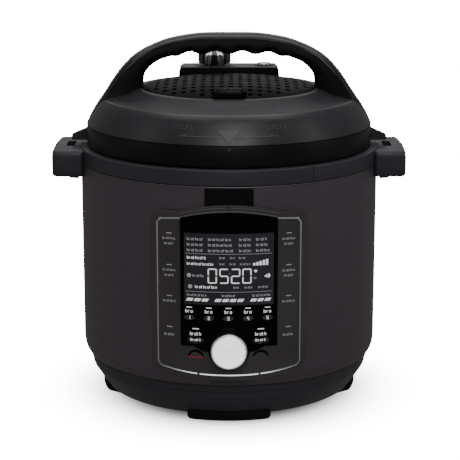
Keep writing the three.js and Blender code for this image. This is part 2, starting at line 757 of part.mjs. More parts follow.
function lidCover() {
  const skin = turned([
    ...lidOutside(0),
    [0, WELL_FLOOR - WELL_FLOOR_WALL],
    [DIFFUSER_RADIUS - 1, WELL_FLOOR - WELL_FLOOR_WALL],
    [CREST_RADIUS - 1.5, CREST_Z - LID_WALL],
    [SHOULDER_RADIUS - 3.4, SHOULDER_Z - 2],
    [LID_RADIUS - LID_WALL, LID_BAND_TOP - 1],
    [LID_RADIUS - LID_WALL, LID_BOTTOM],
    [LID_RADIUS - 0.4, LID_BOTTOM],
  ])
  const well = upright(0, 0, DIFFUSER_RADIUS + GAP, WELL_FLOOR, 300, ROUND)
  const { half, front, rear } = VALVE_BLOCK
  const blockWell = block(-half - GAP, half + GAP, front - GAP, rear + GAP, WELL_FLOOR, 300)
  const boss = upright(0, 0, 8, LID_PLATE_CROWN + 0.4, WELL_FLOOR - 1)
  const bore = upright(0, 0, 2.6, 240, 270, 12)
  const root = LID_RADIUS - 1.5
  const finSide = [[root, FIN.bottom], [FIN.reach, FIN.bottom], [FIN.reach, FIN.tip], [root, FIN.root]]
  const fin = slab(finSide, -FIN.halfDepth, FIN.halfDepth)
  const holes = [
    upright(VALVE_X, VALVE_Y, 7.5, 270, 290),
    upright(FLOAT_X, VALVE_Y, FLOAT_RADIUS + 0.8, 270, 290),
    ...[-1, 1].map((side) => upright(side * HANDLE_SCREW_X, 0, HANDLE_SCREW_BORE, 260, 300, 12)),
  ]
  const body = join(cut(skin, well, blockWell), boss, fin, fin.mirror([1, 0, 0]))
  return cut(body, bore, ...holes)
}

// Height of the diffuser's top surface: flat in the middle, steeper towards the rim.
const diffuserHeight = (radius) => DIFFUSER_EDGE_Z
  + DIFFUSER_CROWN * (1 - (radius / DIFFUSER_RADIUS) ** 3)

function diffuserCover() {
  const rings = [0, 30, 50, 65, 74, DIFFUSER_RADIUS]
  const top = rings.map((radius) => [radius, diffuserHeight(radius)])
  const under = rings.slice(0, -1).map((radius) => [radius, diffuserHeight(radius) - DIFFUSER_WALL])
  const foot = WELL_FLOOR + GAP
  const inside = DIFFUSER_RADIUS - DIFFUSER_WALL
  const dome = turned([
    ...top,
    [DIFFUSER_RADIUS, foot],
    [inside, foot],
    [inside, diffuserHeight(inside) - DIFFUSER_WALL],
    ...under.reverse(),
  ])
  const { half, front } = VALVE_BLOCK
  const tools = [
    block(-half - GAP, half + GAP, front - GAP, 100, 270, 310),
    block(-15.2, 15.2, -90, -60.5, 270, 310),
    block(VALVE_X - 14, VALVE_X + 14, 50, front, 270, 289.2),
  ]
  for (let row = -3; row <= 2; row += 1) {
    for (let column = -3; column <= 3; column += 1) {
      const [x, y] = [column * VENT_PITCH, (row + 0.5) * VENT_PITCH]
      const inField = Math.hypot(x, y) < DIFFUSER_RADIUS - 12
      const nearSwitch = Math.abs(x) < 20 && y < -40
      if (!inField || nearSwitch) continue
      const size = VENT_SIZE / 2
      tools.push(block(x - size, x + size, y - size, y + size, 280, 300))
    }
  }
  return cut(dome, ...tools)
}

// Half of the handle's outer line, [distance from the middle, z], top to foot.
function handleLine(steps) {
  const curve = new THREE.SplineCurve([[0, HANDLE_TOP], [48.5, 333.6], [78, 322.6], [97, 307],
    [107.7, 293], [SHOULDER_RADIUS, SHOULDER_Z + 0.6]].map(([x, z]) => new THREE.Vector2(x, z)))
  return curve.getPoints(steps).map((point) => [point.x, point.y])
}

// The hand opening: four finger scallops between two curved ends.
function handOpening() {
  const half = []
  for (let x = 0; x <= 2 * SCALLOP_PITCH; x += 4) {
    half.push([x, SCALLOP_MEAN_Z - SCALLOP_DEPTH * Math.cos(FULL_TURN * x / SCALLOP_PITCH)])
  }
  const end = new THREE.SplineCurve([[58.7, 314.2], [66, 311.2], [72.6, 306.1], [77.2, 300],
    [HANDLE_MOUTH_HALF, 293]].map(([x, z]) => new THREE.Vector2(x, z)))
  half.push(...end.getPoints(6).map((point) => [point.x, point.y]), [HANDLE_MOUTH_HALF, 200])
  return [...mirrored(half), ...half.slice(1)]
}

function lidHandle() {
  const line = handleLine(14)
  const dome = turned([...line, [SHOULDER_RADIUS, 262], [0, 262]])
  const plan = []
  for (let i = -12; i <= 12; i += 1) {
    const x = i * 10
    const rise = THREE.MathUtils.smoothstep(Math.abs(x), 66, 112)
    plan.push([x, -HANDLE_HALF_DEPTH - HANDLE_FLARE * rise])
  }
  const outline = [...plan, ...plan.map(([x, y]) => [x, -y]).reverse()]
  const lidSpace = turned([[0, LID_BOTTOM], ...lidOutside(GAP)])
  const wellSpace = upright(0, 0, DIFFUSER_RADIUS + GAP, 250, 296, ROUND)
  const screwBores = [-1, 1].map(
    (side) => upright(side * HANDLE_SCREW_X, 0, HANDLE_SCREW_BORE, 270, 296, 12))
  return cut(dome.intersect(prism(outline, 255, 345)), slab(handOpening(), -40, 40),
    lidSpace, wellSpace, ...screwBores)
}

const handleScrew = (side) => screw([side * HANDLE_SCREW_X, 0], 4, 275.2, 294)

const lidScrew = () => screw([0, 0], 5.5, LID_PLATE_CROWN - 1.8, 266)

// ---------------------------------------------------------------- valves

function valveBlock() {
  const { half, front, rear, top, wall } = VALVE_BLOCK
  const chamfer = 3
  const bottom = WELL_FLOOR + GAP
  const outside = slab([[-half, bottom], [half, bottom], [half - 0.5, top - chamfer],
    [half - chamfer, top], [chamfer - half, top], [0.5 - half, top - chamfer]], front, rear)
  const inside = block(-half + wall, half - wall, front + wall, rear - wall, bottom - 1, top - wall)
  const prongSlots = [-11, 11].map((offset) => block(VALVE_X + offset - 2.2,
    VALVE_X + offset + 2.2, front - 1, front + wall + 1, bottom - 1, 290))
  return cut(outside, inside, ...prongSlots,
    upright(VALVE_X, VALVE_Y, 10, 290, 300), upright(FLOAT_X, VALVE_Y, 7, 290, 300))
}

// A clear guard round the steam valve: two curved walls that stand on one ring.
function valveSleeve() {
  const { radius, wall, bore, front, rear, bottom, top } = SLEEVE
  const round = turnedRing([[bore, bottom], [radius, bottom], [radius, top], [radius - wall, top],
    [radius - wall, bottom + wall], [bore, bottom + wall]], 2 * SMALL_ROUND)
  return cut(round.translate([VALVE_X, VALVE_Y, 0]),
    block(VALVE_X - 30, VALVE_X + 30, front - 20, front, bottom - 1, top + 1),
    block(VALVE_X - 30, VALVE_X + 30, rear, rear + 20, bottom - 1, top + 1))
}

function valveWeight() {
  const base = SLEEVE.bottom + SLEEVE.wall + 0.5
  return turned([
    [0, VALVE_TOP],
    [VALVE_RADIUS - 4, VALVE_TOP],
    [VALVE_RADIUS - 1.5, VALVE_TOP - 2.4],
    [VALVE_RADIUS, VALVE_TOP - 3.4],
    [VALVE_RADIUS, base + 1],
    [VALVE_RADIUS - 1, base],
    [9.2, base],
    [9.2, VALVE_COLLAR_Z + 1.5],
    [VALVE_COLLAR_RADIUS, VALVE_COLLAR_Z + 1.5],
    [VALVE_COLLAR_RADIUS, VALVE_COLLAR_Z],
    [4.6, VALVE_COLLAR_Z],
    [4.6, VALVE_COLLAR_Z + 6],
    [0, VALVE_COLLAR_Z + 6],
  ], SMALL_ROUND).translate([VALVE_X, VALVE_Y, 0])
}

function steamPipe() {
  const pipe = tubeRing(1.8, 3.8, 236, 290, 12)
  const flange = tubeRing(3, 7, 244.8, 247, 12)
  return join(pipe, flange).translate([VALVE_X, VALVE_Y, 0])
}

function antiBlockShield() {
  return turnedRing([[4.1, 238.6], [11, 238.6], [11, 226], [9.8, 226], [9.8, 237.4], [4.1, 237.4]],
    SMALL_ROUND).translate([VALVE_X, VALVE_Y, 0])
}

function floatPin() {
  return turned([
    [0, FLOAT_TOP],
    [FLOAT_RADIUS - 1, FLOAT_TOP],
    [FLOAT_RADIUS, FLOAT_TOP - 1],
    [FLOAT_RADIUS, FLOAT_TOP - 7],
    [3, FLOAT_TOP - 7],
    [3, 230.8],
    [0, 230.8],
  ], SMALL_ROUND).translate([FLOAT_X, VALVE_Y, 0])
}

function floatCap() {
  return turned([[0, 228.4], [7.4, 228.4], [7.4, 233.2], [3.3, 233.2], [3.3, 230.5], [0, 230.5]],
    SMALL_ROUND).translate([FLOAT_X, VALVE_Y, 0])
}

// The tab at the front of the diffuser and the fork that runs back from it. The fork's ramps
// lift the steam valve by its collar when the tab is slid back.
function releaseSwitch() {
  const low = WELL_FLOOR + 0.5
  const barTop = 286.2
  const tab = slab([[-13.8, 286], [13.8, 286], [13.8, 289.5], [10.8, 295.6], [-10.8, 295.6],
    [-13.8, 289.5]], -76.5, -67.5)
  const base = block(-13, 13, -75.5, -58, low, barTop)
  const crossbar = block(VALVE_X - 12.5, VALVE_X + 12.5, -61, -54, low, barTop)
  const side = shapeOf([[-56, low], [RAMP_FOOT, low], [RAMP_FOOT, barTop],
    [RAMP_FOOT - 5, barTop + VALVE_LIFT], [RAMP_FOOT - 9, barTop + VALVE_LIFT],
    [RAMP_FOOT - 11, barTop], [-56, barTop]])
  const prongs = [-12.5, 9.5].map((offset) => {
    const geometry = new THREE.ExtrudeGeometry(side, { depth: 3, bevelEnabled: false })
    geometry.rotateX(Math.PI / 2).rotateZ(Math.PI / 2)
    return solid(geometry).translate([VALVE_X + offset, 0, 0])
  })
  return join(tab, base, crossbar, ...prongs)
}

// ---------------------------------------------------------------- assembly

part('outer_shell', outerShell(), DARK_STEEL)
part('base_housing', baseHousing(), MATT_BLACK)
part('foot_front', foot(-Math.PI / 2), SOFT_BLACK)
part('foot_right', foot(0), SOFT_BLACK)
part('foot_rear', foot(Math.PI / 2), SOFT_BLACK)
part('foot_left', foot(Math.PI), SOFT_BLACK)
part('top_ring', topRing(), MATT_BLACK)
part('side_handle_left', sideHandle(-1), MATT_BLACK)
part('side_handle_right', sideHandle(1), MATT_BLACK)
part('inner_chamber', innerChamber(), BRIGHT_STEEL)
part('bayonet_ring', bayonetRing(), BRIGHT_STEEL)
postPlaces().forEach((place, i) => part(`base_screw_${i + 1}`, baseScrew(place), BRIGHT_STEEL))

part('heating_plate', heatingPlate(), ALUMINIUM)
part('temperature_sensor', temperatureSensor(), ALUMINIUM)
part('sensor_spring', sensorSpring(), BRIGHT_STEEL)
part('pressure_switch', pressureSwitch(), SOFT_BLACK)
part('power_board', powerBoard(), BOARD_GREEN)
part('mains_inlet', mainsInlet(), SOFT_BLACK)

part('panel_bezel', panelBezel(), MATT_BLACK)
part('overlay_lens', overlayLens(), GLOSS_BLACK)
part('frame_trim', frameTrim(), SILVER_TRIM)
part('arch_trim', archTrim(), MATT_BLACK)
part('display_module', displayModule(), DISPLAY_GREY)
part('control_board', controlBoard(), BOARD_GREEN)
part('encoder_body', encoderBody(), SOFT_BLACK)
part('encoder_plunger', encoderPlunger(), SILICONE)
part('dial_shaft', dialShaft(), BRIGHT_STEEL)
part('dial_knob', dialKnob(), ALUMINIUM)

part('collector_mount', collectorMount(), MATT_BLACK)
part('condensation_collector', condensationCollector(), CLEAR_GREY)

part('inner_pot', innerPot(), BRIGHT_STEEL)
part('sealing_ring', sealingRing(), SILICONE)

part('lid_plate', lidPlate(), BRIGHT_STEEL)
part('seal_rack', sealRack(), BRIGHT_STEEL)
part('lid_cover', lidCover(), MATT_BLACK)
part('lid_handle', lidHandle(), MATT_BLACK)
part('handle_screw_left', handleScrew(-1), BRIGHT_STEEL)
part('handle_screw_right', handleScrew(1), BRIGHT_STEEL)
part('lid_screw', lidScrew(), BRIGHT_STEEL)
part('diffuser_cover', diffuserCover(), MATT_BLACK)
part('valve_block', valveBlock(), MATT_BLACK)
part('valve_sleeve', valveSleeve(), CLEAR_GREY)
part('steam_pipe', steamPipe(), BRIGHT_STEEL)
part('anti_block_shield', antiBlockShield(), BRIGHT_STEEL)
part('valve_weight', valveWeight(), BRIGHT_STEEL)
part('float_pin', floatPin(), BRIGHT_STEEL)
part('float_cap', floatCap(), SILICONE)
part('release_switch', releaseSwitch(), GLOSS_BLACK)

export default cooker
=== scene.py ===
"""Electric pressure cooker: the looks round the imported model.

Shapes are worked out in millimetres, +Z up, with the control panel facing -Y. They become metres
where a mesh is made.
"""

import json
import math

import bmesh
import bpy
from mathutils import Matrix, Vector


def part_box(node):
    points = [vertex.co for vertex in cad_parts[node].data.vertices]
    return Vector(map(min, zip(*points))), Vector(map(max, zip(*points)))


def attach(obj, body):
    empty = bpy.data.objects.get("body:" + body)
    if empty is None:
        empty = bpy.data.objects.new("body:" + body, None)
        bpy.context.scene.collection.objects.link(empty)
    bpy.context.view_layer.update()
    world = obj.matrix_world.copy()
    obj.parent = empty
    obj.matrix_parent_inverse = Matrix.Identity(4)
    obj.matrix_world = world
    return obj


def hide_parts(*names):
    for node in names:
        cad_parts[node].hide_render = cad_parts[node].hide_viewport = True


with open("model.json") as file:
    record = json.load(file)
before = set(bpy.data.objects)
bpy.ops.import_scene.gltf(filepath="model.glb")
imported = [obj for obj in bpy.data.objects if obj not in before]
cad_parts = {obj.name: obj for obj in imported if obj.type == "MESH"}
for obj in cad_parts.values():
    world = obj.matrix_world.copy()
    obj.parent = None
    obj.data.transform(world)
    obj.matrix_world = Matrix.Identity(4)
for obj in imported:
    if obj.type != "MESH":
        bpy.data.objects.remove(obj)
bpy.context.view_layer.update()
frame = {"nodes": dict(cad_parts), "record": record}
MM = 0.001
TURN = 2 * math.pi
FINE = 160          # facets round the large turned pieces
MEDIUM = 64         # facets round knobs and valves
COARSE = 24         # facets round pips
SLOT_OF = {piece["node"]: piece["material_slot"] for piece in frame["record"]["subparts"]}


def limits(node):
    """The lowest and highest corner of a CAD node, in millimetres."""
    low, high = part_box(node)
    return low / MM, high / MM


# ---- camera, lights and floor

CAMERA_DISTANCE = 1456.3
CAMERA_HEIGHT = 496.8
CAMERA_PITCH = math.radians(13.35)
CAMERA_LENS = 124.45
CAMERA_SENSOR = 36
CAMERA_SHIFT = 0.0022
LIGHTS = (              # name, place, target, width and height in metres, power in watts
    ("overhead_softbox", (0.0, 0.25, 1.75), (0, 0.05, 0.2), 1.7, 1.1, 15),
    ("front_softbox", (0.15, -2.3, 1.5), (0, 0, 0.15), 1.2, 0.9, 15),
    ("high_front_softbox", (0.12, -1.25, 1.52), (0, -0.1, 0.25), 0.7, 0.45, 4.5),
    ("left_strip", (-1.7, -0.5, 0.9), (0, 0, 0.15), 0.5, 1.5, 1.6),
    ("right_strip", (1.7, -0.5, 0.9), (0, 0, 0.15), 0.5, 1.5, 3.2),
    ("rear_softbox", (0.0, 2.2, 1.3), (0, 0, 0.15), 1.8, 1.0, 4),
)
DIAL_CARD = ("dial_card", (0.0, -0.62, 0.012), (0, -0.3, 0.3), 0.6, 0.45, 2.0)
WORLD_STRENGTH = 0.20
FLOOR_HALF = 30.0               # metres
# The paper's glow is turned down near the cooker's axis: a painted contact shadow, not one cast by the lamps.
SHADOW_FADE_RADII = (0.085, 0.200)     # metres from the axis to where the paper's glow starts, and is full
# glow strength inside the painted shadow, and out on the open paper
SHADOW_FADE_STRENGTHS = (0.1, 16.0)


def make_camera():
    data = bpy.data.cameras.new("camera")
    data.lens = CAMERA_LENS
    data.sensor_width = CAMERA_SENSOR
    data.shift_x = CAMERA_SHIFT
    camera = bpy.data.objects.new("camera", data)
    camera.location = (0, -CAMERA_DISTANCE * MM, CAMERA_HEIGHT * MM)
    camera.rotation_euler = (TURN / 4 - CAMERA_PITCH, 0, 0)
    bpy.context.scene.collection.objects.link(camera)
    bpy.context.scene.camera = camera


def area_light(name, place, target, width, height, power):
    data = bpy.data.lights.new(name, "AREA")
    data.shape = "RECTANGLE"
    data.size = width
    data.size_y = height
    data.energy = power
    light = bpy.data.objects.new(name, data)
    light.location = place
    light.rotation_euler = (Vector(target) - Vector(place)).to_track_quat("-Z", "Y").to_euler()
    bpy.context.scene.collection.objects.link(light)
    return light


def make_lights():
    for light in LIGHTS:
        area_light(*light)
    world = bpy.data.worlds.new("studio")
    world.use_nodes = True
    background = world.node_tree.nodes["Background"]
    background.inputs["Color"].default_value = (1, 1, 1, 1)
    background.inputs["Strength"].default_value = WORLD_STRENGTH
    bpy.context.scene.world = world


def light_the_dial(*pieces):
    """A low card in front that lights only these bright pieces."""
    lit = bpy.data.collections.new("lit_by_dial_card")
    for piece in pieces:
        lit.objects.link(piece)
    area_light(*DIAL_CARD).light_linking.receiver_collection = lit


def make_floor():
    """White paper that glows evenly, with a painted contact shadow: its glow is turned down by distance from
    the cooker's axis.
    """
    paper = Look("paper_with_painted_shadow", 0.7, emission_color=(1, 1, 1, 1))
    paper.colour_from(paper.noise(3, 2), (0.90, 0.90, 0.90), (0.94, 0.94, 0.94))
    paper.roughness_from(paper.noise(40, 4), 0.65, 0.75)
    # painted contact shadow: the glow fades in with distance from the cooker's axis
    radius = paper.vector("LENGTH", paper.place)
    shadow_fade = paper.spread(radius, SHADOW_FADE_RADII, SHADOW_FADE_STRENGTHS, "Emission Strength")
    shadow_fade.interpolation_type = "SMOOTHERSTEP"
    mesh = bpy.data.meshes.new("floor")
    corners = [(x * FLOOR_HALF, y * FLOOR_HALF, 0) for x, y in ((-1, -1), (1, -1), (1, 1), (-1, 1))]
    mesh.from_pydata(corners, [], [(0, 1, 2, 3)])
    mesh.materials.append(paper.material)
    floor = bpy.data.objects.new("floor", mesh)
    floor.visible_glossy = False
    floor.visible_diffuse = False
    bpy.context.scene.collection.objects.link(floor)


# ---- materials

NOISE_SPAN = (0.3, 0.7)         # most of a noise texture's values lie between these


def socket_of(name):
    """The name on a node's socket: specular_ior_level is Specular IOR Level."""
    return name.replace("_", " ").title().replace("Ior", "IOR")


class Look:
    """A Principled material, and the nodes that drive it."""

    def __init__(self, name, roughness, metallic=0.0, **settings):
        self.material = bpy.data.materials.new(name)
        self.material.use_nodes = True
        self.tree = self.material.node_tree
        self.shader = self.tree.nodes["Principled BSDF"]
        self.set(roughness=roughness, metallic=metallic, **settings)
        self.place = self.node("TexCoord").outputs["Object"]

    def set(self, **values):
        for name, value in values.items():
            self.shader.inputs[socket_of(name)].default_value = value

    def link(self, output, target):
        self.tree.links.new(output, target)

    def node(self, kind, source=None, into=0, **values):
        """A new node, with source linked into one of its inputs and other inputs set by name."""
        node = self.tree.nodes.new("ShaderNode" + kind)
        for name, value in values.items():
            node.inputs[socket_of(name)].default_value = value
        if source:
            self.link(source, node.inputs[into])
        return node

    def vector(self, operation, source, other=(0, 0, 0)):
        """A vector operation on source and a fixed other vector."""
        node = self.node("VectorMath", source)
        node.operation = operation
        node.inputs[1].default_value = other
        return node.outputs["Value" if operation == "LENGTH" else "Vector"]

    def noise(self, scale, detail=3, stretch=(1, 1, 1)):
        """Noise over the object's own coordinates, squeezed by stretch. Scale is features per metre."""
        mapping = self.node("Mapping", self.place, scale=stretch)
        return self.node("TexNoise", mapping.outputs["Vector"], scale=scale, detail=detail).outputs["Fac"]

    def spread(self, factor, start, end, socket):
        """Maps a factor from the range start to the range end, into one of the shader's sockets."""
        ranges = {"from_min": start[0], "from_max": start[1], "to_min": end[0], "to_max": end[1]}
        node = self.node("MapRange", factor, **ranges)
        self.link(node.outputs["Result"], self.shader.inputs[socket])
        return node

    def colour_from(self, factor, *colours):
        ramp = self.node("ValToRGB", factor)
        for stop, position, colour in zip(ramp.color_ramp.elements, NOISE_SPAN, colours):
            stop.position = position
            stop.color = (*colour, 1)
        self.link(ramp.outputs["Color"], self.shader.inputs["Base Color"])

    def roughness_from(self, factor, low, high):
        self.spread(factor, NOISE_SPAN, (low, high), "Roughness")

    def bump_from(self, factor, strength, depth):
        """Surface relief. Depth is in millimetres."""
        bump = self.node("Bump", factor, "Height", strength=strength, distance=depth * MM)
        self.link(bump.outputs["Normal"], self.shader.inputs["Normal"])


def shade(colour, factor):
    return tuple(channel * factor for channel in colour)


def moulded(name, colour, roughness, grain=0.06, gloss=0.5, **settings):
    """Moulded plastic or rubber: a fine grain, faint flow marks and uneven gloss."""
    look = Look(name, roughness, specular_ior_level=gloss, **settings)
    look.colour_from(look.noise(18, 4), shade(colour, 0.85), shade(colour, 1.15))
    look.roughness_from(look.noise(60, 5), roughness - 0.05, roughness + 0.05)
    look.bump_from(look.noise(2600, 2), 0.25, grain)
    return look.material


def brushed(name, colour, roughness, stretch=(1, 1, 1), **settings):
    """Metal with fine brush lines: stretch is large across the lines and small along them."""
    look = Look(name, roughness, metallic=1.0, **settings)
    lines = look.noise(900, 3, stretch)
    look.colour_from(lines, shade(colour, 0.95), shade(colour, 1.05))
    look.roughness_from(look.noise(300, 3, stretch), roughness - 0.03, roughness + 0.03)
    look.bump_from(lines, 0.08, 0.01)
    return look.material


def glowing(name, colour, strength):
    """Lit segments of the display, slightly uneven as a backlight is."""
    look = Look(name, 0.5, emission_color=(*colour, 1), emission_strength=strength)
    look.colour_from(look.noise(30, 2), shade(colour, 0.92), colour)
    return look.material


def spun(name, colour, roughness):
    """Metal turned on a lathe: concentric rings about the dial's axis."""
    look = Look(name, roughness, metallic=1.0, anisotropic=0.75)
    low, high = limits("dial_knob")
    centre = (low + high) / 2 * MM
    shift = look.vector("SUBTRACT", look.place, (centre.x, 0, centre.z))
    radius = look.vector("LENGTH", look.vector("MULTIPLY", shift, (1, 0, 1)))
    rings = look.node("TexNoise", scale=2600)
    rings.noise_dimensions = "1D"
    look.link(radius, rings.inputs["W"])
    look.colour_from(rings.outputs["Fac"], shade(colour, 0.9), colour)
    look.bump_from(rings.outputs["Fac"], 0.15, 0.03)
    tangent = look.node("Tangent")
    tangent.direction_type = "RADIAL"
    tangent.axis = "Y"
    look.link(tangent.outputs["Tangent"], look.shader.inputs["Tangent"])
    return look.material


def clear_plastic(name, colour, roughness, opacity):
    look = Look(name, roughness, alpha=opacity, ior=1.49)
    look.colour_from(look.noise(25, 3), shade(colour, 0.9), colour)
    look.roughness_from(look.noise(80, 4), roughness - 0.02, roughness + 0.05)
    look.bump_from(look.noise(500, 2), 0.1, 0.02)
    return look.material


ROUND_THE_BODY = (0.03, 0.03, 1.0)
MATERIALS = {
    "dark_steel": brushed("black_steel", (0.150, 0.124, 0.142), 0.52, ROUND_THE_BODY, anisotropic=0.3),
    "bright_steel": brushed("stainless_steel", (0.56, 0.56, 0.57), 0.24, ROUND_THE_BODY),
    "plain_steel": brushed("plain_steel", (0.55, 0.55, 0.56), 0.3),
    "aluminium": brushed("cast_aluminium", (0.60, 0.60, 0.61), 0.4),
    "dial_face": spun("spun_aluminium", (0.86, 0.85, 0.87), 0.32),
    "matt_black": moulded("black_plastic", (0.030, 0.0270, 0.0345), 0.48, gloss=0.34),
    "lid_black": moulded("lid_plastic", (0.020, 0.0190, 0.0230), 0.36, gloss=0.42),
    "band_black": moulded("lid_band_plastic", (0.003, 0.003, 0.0034), 0.42, gloss=0.2),
    "handle_black": moulded("handle_plastic", (0.0045, 0.0045, 0.0046), 0.30, 0.04, gloss=0.42),
    # the lid's raised closing mark, coloured lighter as a painted highlight on its edges
    "mark_highlight_grey": moulded("mark_highlight_plastic", (0.045, 0.044, 0.047), 0.42),
    "bezel_black": moulded("bezel_plastic", (0.046, 0.039, 0.045), 0.5, gloss=0.4),
    "soft_black": moulded("foot_rubber", (0.0030, 0.0025, 0.0034), 0.7, gloss=0.2),
    "gloss_black": moulded("gloss_black", (0.002, 0.0014, 0.0022), 0.10, 0.003, gloss=0.09),
    "silver_trim": brushed("silver_trim", (0.62, 0.61, 0.63), 0.3),
    "diffuser_black": moulded("diffuser_plastic", (0.002, 0.002, 0.0021), 0.5, gloss=0.07),
    "tab_black": moulded("tab_plastic", (0.0008, 0.0008, 0.0009), 0.3, 0.01, gloss=0.1),
    "valve_black": moulded("valve_plastic", (0.004, 0.004, 0.0042), 0.25, 0.02),
    "patch_black": moulded("patch_black", (0.003, 0.0022, 0.0035), 0.3, 0.003, gloss=0.2),
    "patch_grey": moulded("patch_grey", (0.040, 0.036, 0.041), 0.4, 0.01),
    # grey of the arch rim and the pot's level marks, and also the painted highlight along the bezel's edge
    # over the arch
    "grey_line_and_highlight": moulded("grey_line_and_highlight", (0.10, 0.095, 0.10), 0.35),
    "silicone": moulded("silicone", (0.66, 0.66, 0.63), 0.5, 0.02, subsurface_weight=0.15),
    "clear_grey": clear_plastic("smoky_plastic", (0.30, 0.32, 0.33), 0.12, 0.6),
    "clear": clear_plastic("clear_plastic", (0.30, 0.31, 0.32), 0.06, 0.10),
    "board_green": moulded("board_green", (0.012, 0.075, 0.034), 0.45, 0.1),
    "display_grey": moulded("display_glass", (0.040, 0.035, 0.043), 0.16, 0.003, gloss=0.2),
    "display_lit": glowing("display_lit", (0.83, 0.82, 0.86), 0.55),
    "display_dim": glowing("display_dim", (0.42, 0.40, 0.43), 0.18),
    "key_print": glowing("key_print", (0.44, 0.42, 0.44), 0.10),
    # grey of the painted shading in the finger dimples round the keys
    "dimple_shade_grey": moulded("dimple_shade_grey", (0.050, 0.046, 0.050), 0.3, 0.01),
    "red_print": glowing("red_print", (0.32, 0.03, 0.04), 0.12),
    "green_print": glowing("green_print", (0.02, 0.09, 0.05), 0.10),
}


# ---- mesh makers

CREASE = 32             # edges sharper than this many degrees stay sharp
BEVEL_ANGLE = 38


def made(name, shape, body="cooker", slot="matt_black", look=None, replaces=(), crease=CREASE, bevel=0.0):
    """A piece from a shape, which is points in millimetres and faces. It rides on a body."""
    points, faces = shape
    form = bmesh.new()
    corners = [form.verts.new(Vector(point) * MM) for point in points]
    form.verts.index_update()
    for face in faces:
        if len(set(face)) > 2:
            form.faces.new([corners[i] for i in face])
    bmesh.ops.remove_doubles(form, verts=form.verts, dist=1e-7)
    bmesh.ops.recalc_face_normals(form, faces=form.faces)
    mesh = bpy.data.meshes.new(name)
    form.to_mesh(mesh)
    form.free()
    piece = bpy.data.objects.new(name, mesh)
    bpy.context.scene.collection.objects.link(piece)
    mesh.materials.append(MATERIALS[look or slot])
    smooth(piece, crease)
    if bevel:
        soften(piece, bevel)
    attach(piece, body)
    if replaces:
        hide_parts(*replaces)
    return piece


def smooth(piece, crease):
    for face in piece.data.polygons:
        face.use_smooth = True
    piece.data.set_sharp_from_angle(angle=math.radians(crease))


def soften(piece, width):
    """Rounds the edges of a piece by a radius in millimetres."""
    bevel = piece.modifiers.new("rounded_edges", "BEVEL")
    bevel.width = width * MM
    bevel.segments = 3
    bevel.limit_method = "ANGLE"
    bevel.angle_limit = math.radians(BEVEL_ANGLE)
    bevel.harden_normals = False


def cut_away(piece, *shapes, crease=CREASE):
    """Takes shapes, each of points in millimetres and faces, out of a piece."""
    cutters = [cutter(*shape) for shape in shapes]
    for thing in cutters:
        step = piece.modifiers.new("cut", "BOOLEAN")
        step.operation = "DIFFERENCE"
        step.solver = "EXACT"
        step.object = thing
    graph = bpy.context.evaluated_depsgraph_get()
    mesh = bpy.data.meshes.new_from_object(piece.evaluated_get(graph))
    piece.modifiers.clear()
    piece.data = mesh
    for thing in cutters:
        bpy.data.objects.remove(thing)
    smooth(piece, crease)


def cutter(points, faces):
    """A bare object for cut_away."""
    mesh = bpy.data.meshes.new("cutter")
    mesh.from_pydata([Vector(point) * MM for point in points], [], faces)
    form = bmesh.new()
    form.from_mesh(mesh)
    bmesh.ops.recalc_face_normals(form, faces=form.faces)
    form.to_mesh(mesh)
    form.free()
    thing = bpy.data.objects.new("cutter", mesh)
    bpy.context.scene.collection.objects.link(thing)
    return thing


def steps_between(low, high, count):
    return [low + (high - low) * i / count for i in range(count + 1)]


def rounded(outline, radius, steps=4):
    """A closed outline with each corner turned into a curve of about that radius."""
    points = []
    for i, corner in enumerate(outline):
        corner = Vector(corner)
        before = Vector(outline[i - 1]) - corner
        after = Vector(outline[(i + 1) % len(outline)]) - corner
        reach = min(radius, before.length * 0.48, after.length * 0.48)
        start = corner + before.normalized() * reach
        end = corner + after.normalized() * reach
        for k in range(steps + 1):
            t = k / steps
            point = start * (1 - t) ** 2 + corner * 2 * t * (1 - t) + end * t ** 2
            points.append(tuple(point))
    return points


def spline(points, steps):
    """Points along a smooth curve through the given points."""
    knots = [Vector(point) for point in points]
    knots = [2 * knots[0] - knots[1], *knots, 2 * knots[-1] - knots[-2]]
    found = []
    for i in range(1, len(knots) - 2):
        a, b, c, d = knots[i - 1:i + 3]
        for k in range(steps):
            t = k / steps
            found.append(0.5 * (2 * b + (c - a) * t + (2 * a - 5 * b + 4 * c - d) * t ** 2
                                + (3 * b - a - 3 * c + d) * t ** 3))
    found.append(knots[-2])
    return [tuple(point) for point in found]


def skin(rows, count, closed, axis=()):
    """Faces between rows of count points. Edges whose two ends are in axis make no face."""
    faces = []
    for i in range(rows - (0 if closed else 1)):
        for k in range(count):
            after = (k + 1) % count
            if k in axis and after in axis:
                continue
            a, b = i * count + k, i * count + after
            faces.append((a, b, (b + count) % (rows * count), (a + count) % (rows * count)))
    return faces


def fan(outline, angle, centre=(0, 0)):
    """A (radius, z) outline stood upright at an angle about an upright axis."""
    return [(centre[0] + radius * math.cos(angle), centre[1] + radius * math.sin(angle), z)
            for radius, z in outline]


def revolved(outline, steps=FINE, centre=(0, 0)):
    """Points and faces of a closed (radius, z) outline turned about an upright axis."""
    points = [point for i in range(steps) for point in fan(outline, i / steps * TURN, centre)]
    axis = [k for k, (radius, _) in enumerate(outline) if radius < 1e-6]
    return points, skin(steps, len(outline), True, axis)


def turned(name, outline, body="cooker", slot="matt_black", steps=FINE, centre=(0, 0), **more):
    """A solid turned about an upright axis."""
    return made(name, revolved(outline, steps, centre), body, slot, **more)


def swept(sections, closed=False):
    """Points and faces of a skin over sections that have the same number of points."""
    count = len(sections[0])
    points = [point for section in sections for point in section]
    faces = skin(len(sections), count, closed)
    if not closed:
        faces.append(tuple(range(count)))
        faces.append(tuple(range(len(points) - count, len(points))))
    return points, faces


def raised(outline, low, high):
    """An XY outline raised from low to high."""
    return swept([[(x, y, z) for x, y in outline] for z in (low, high)])


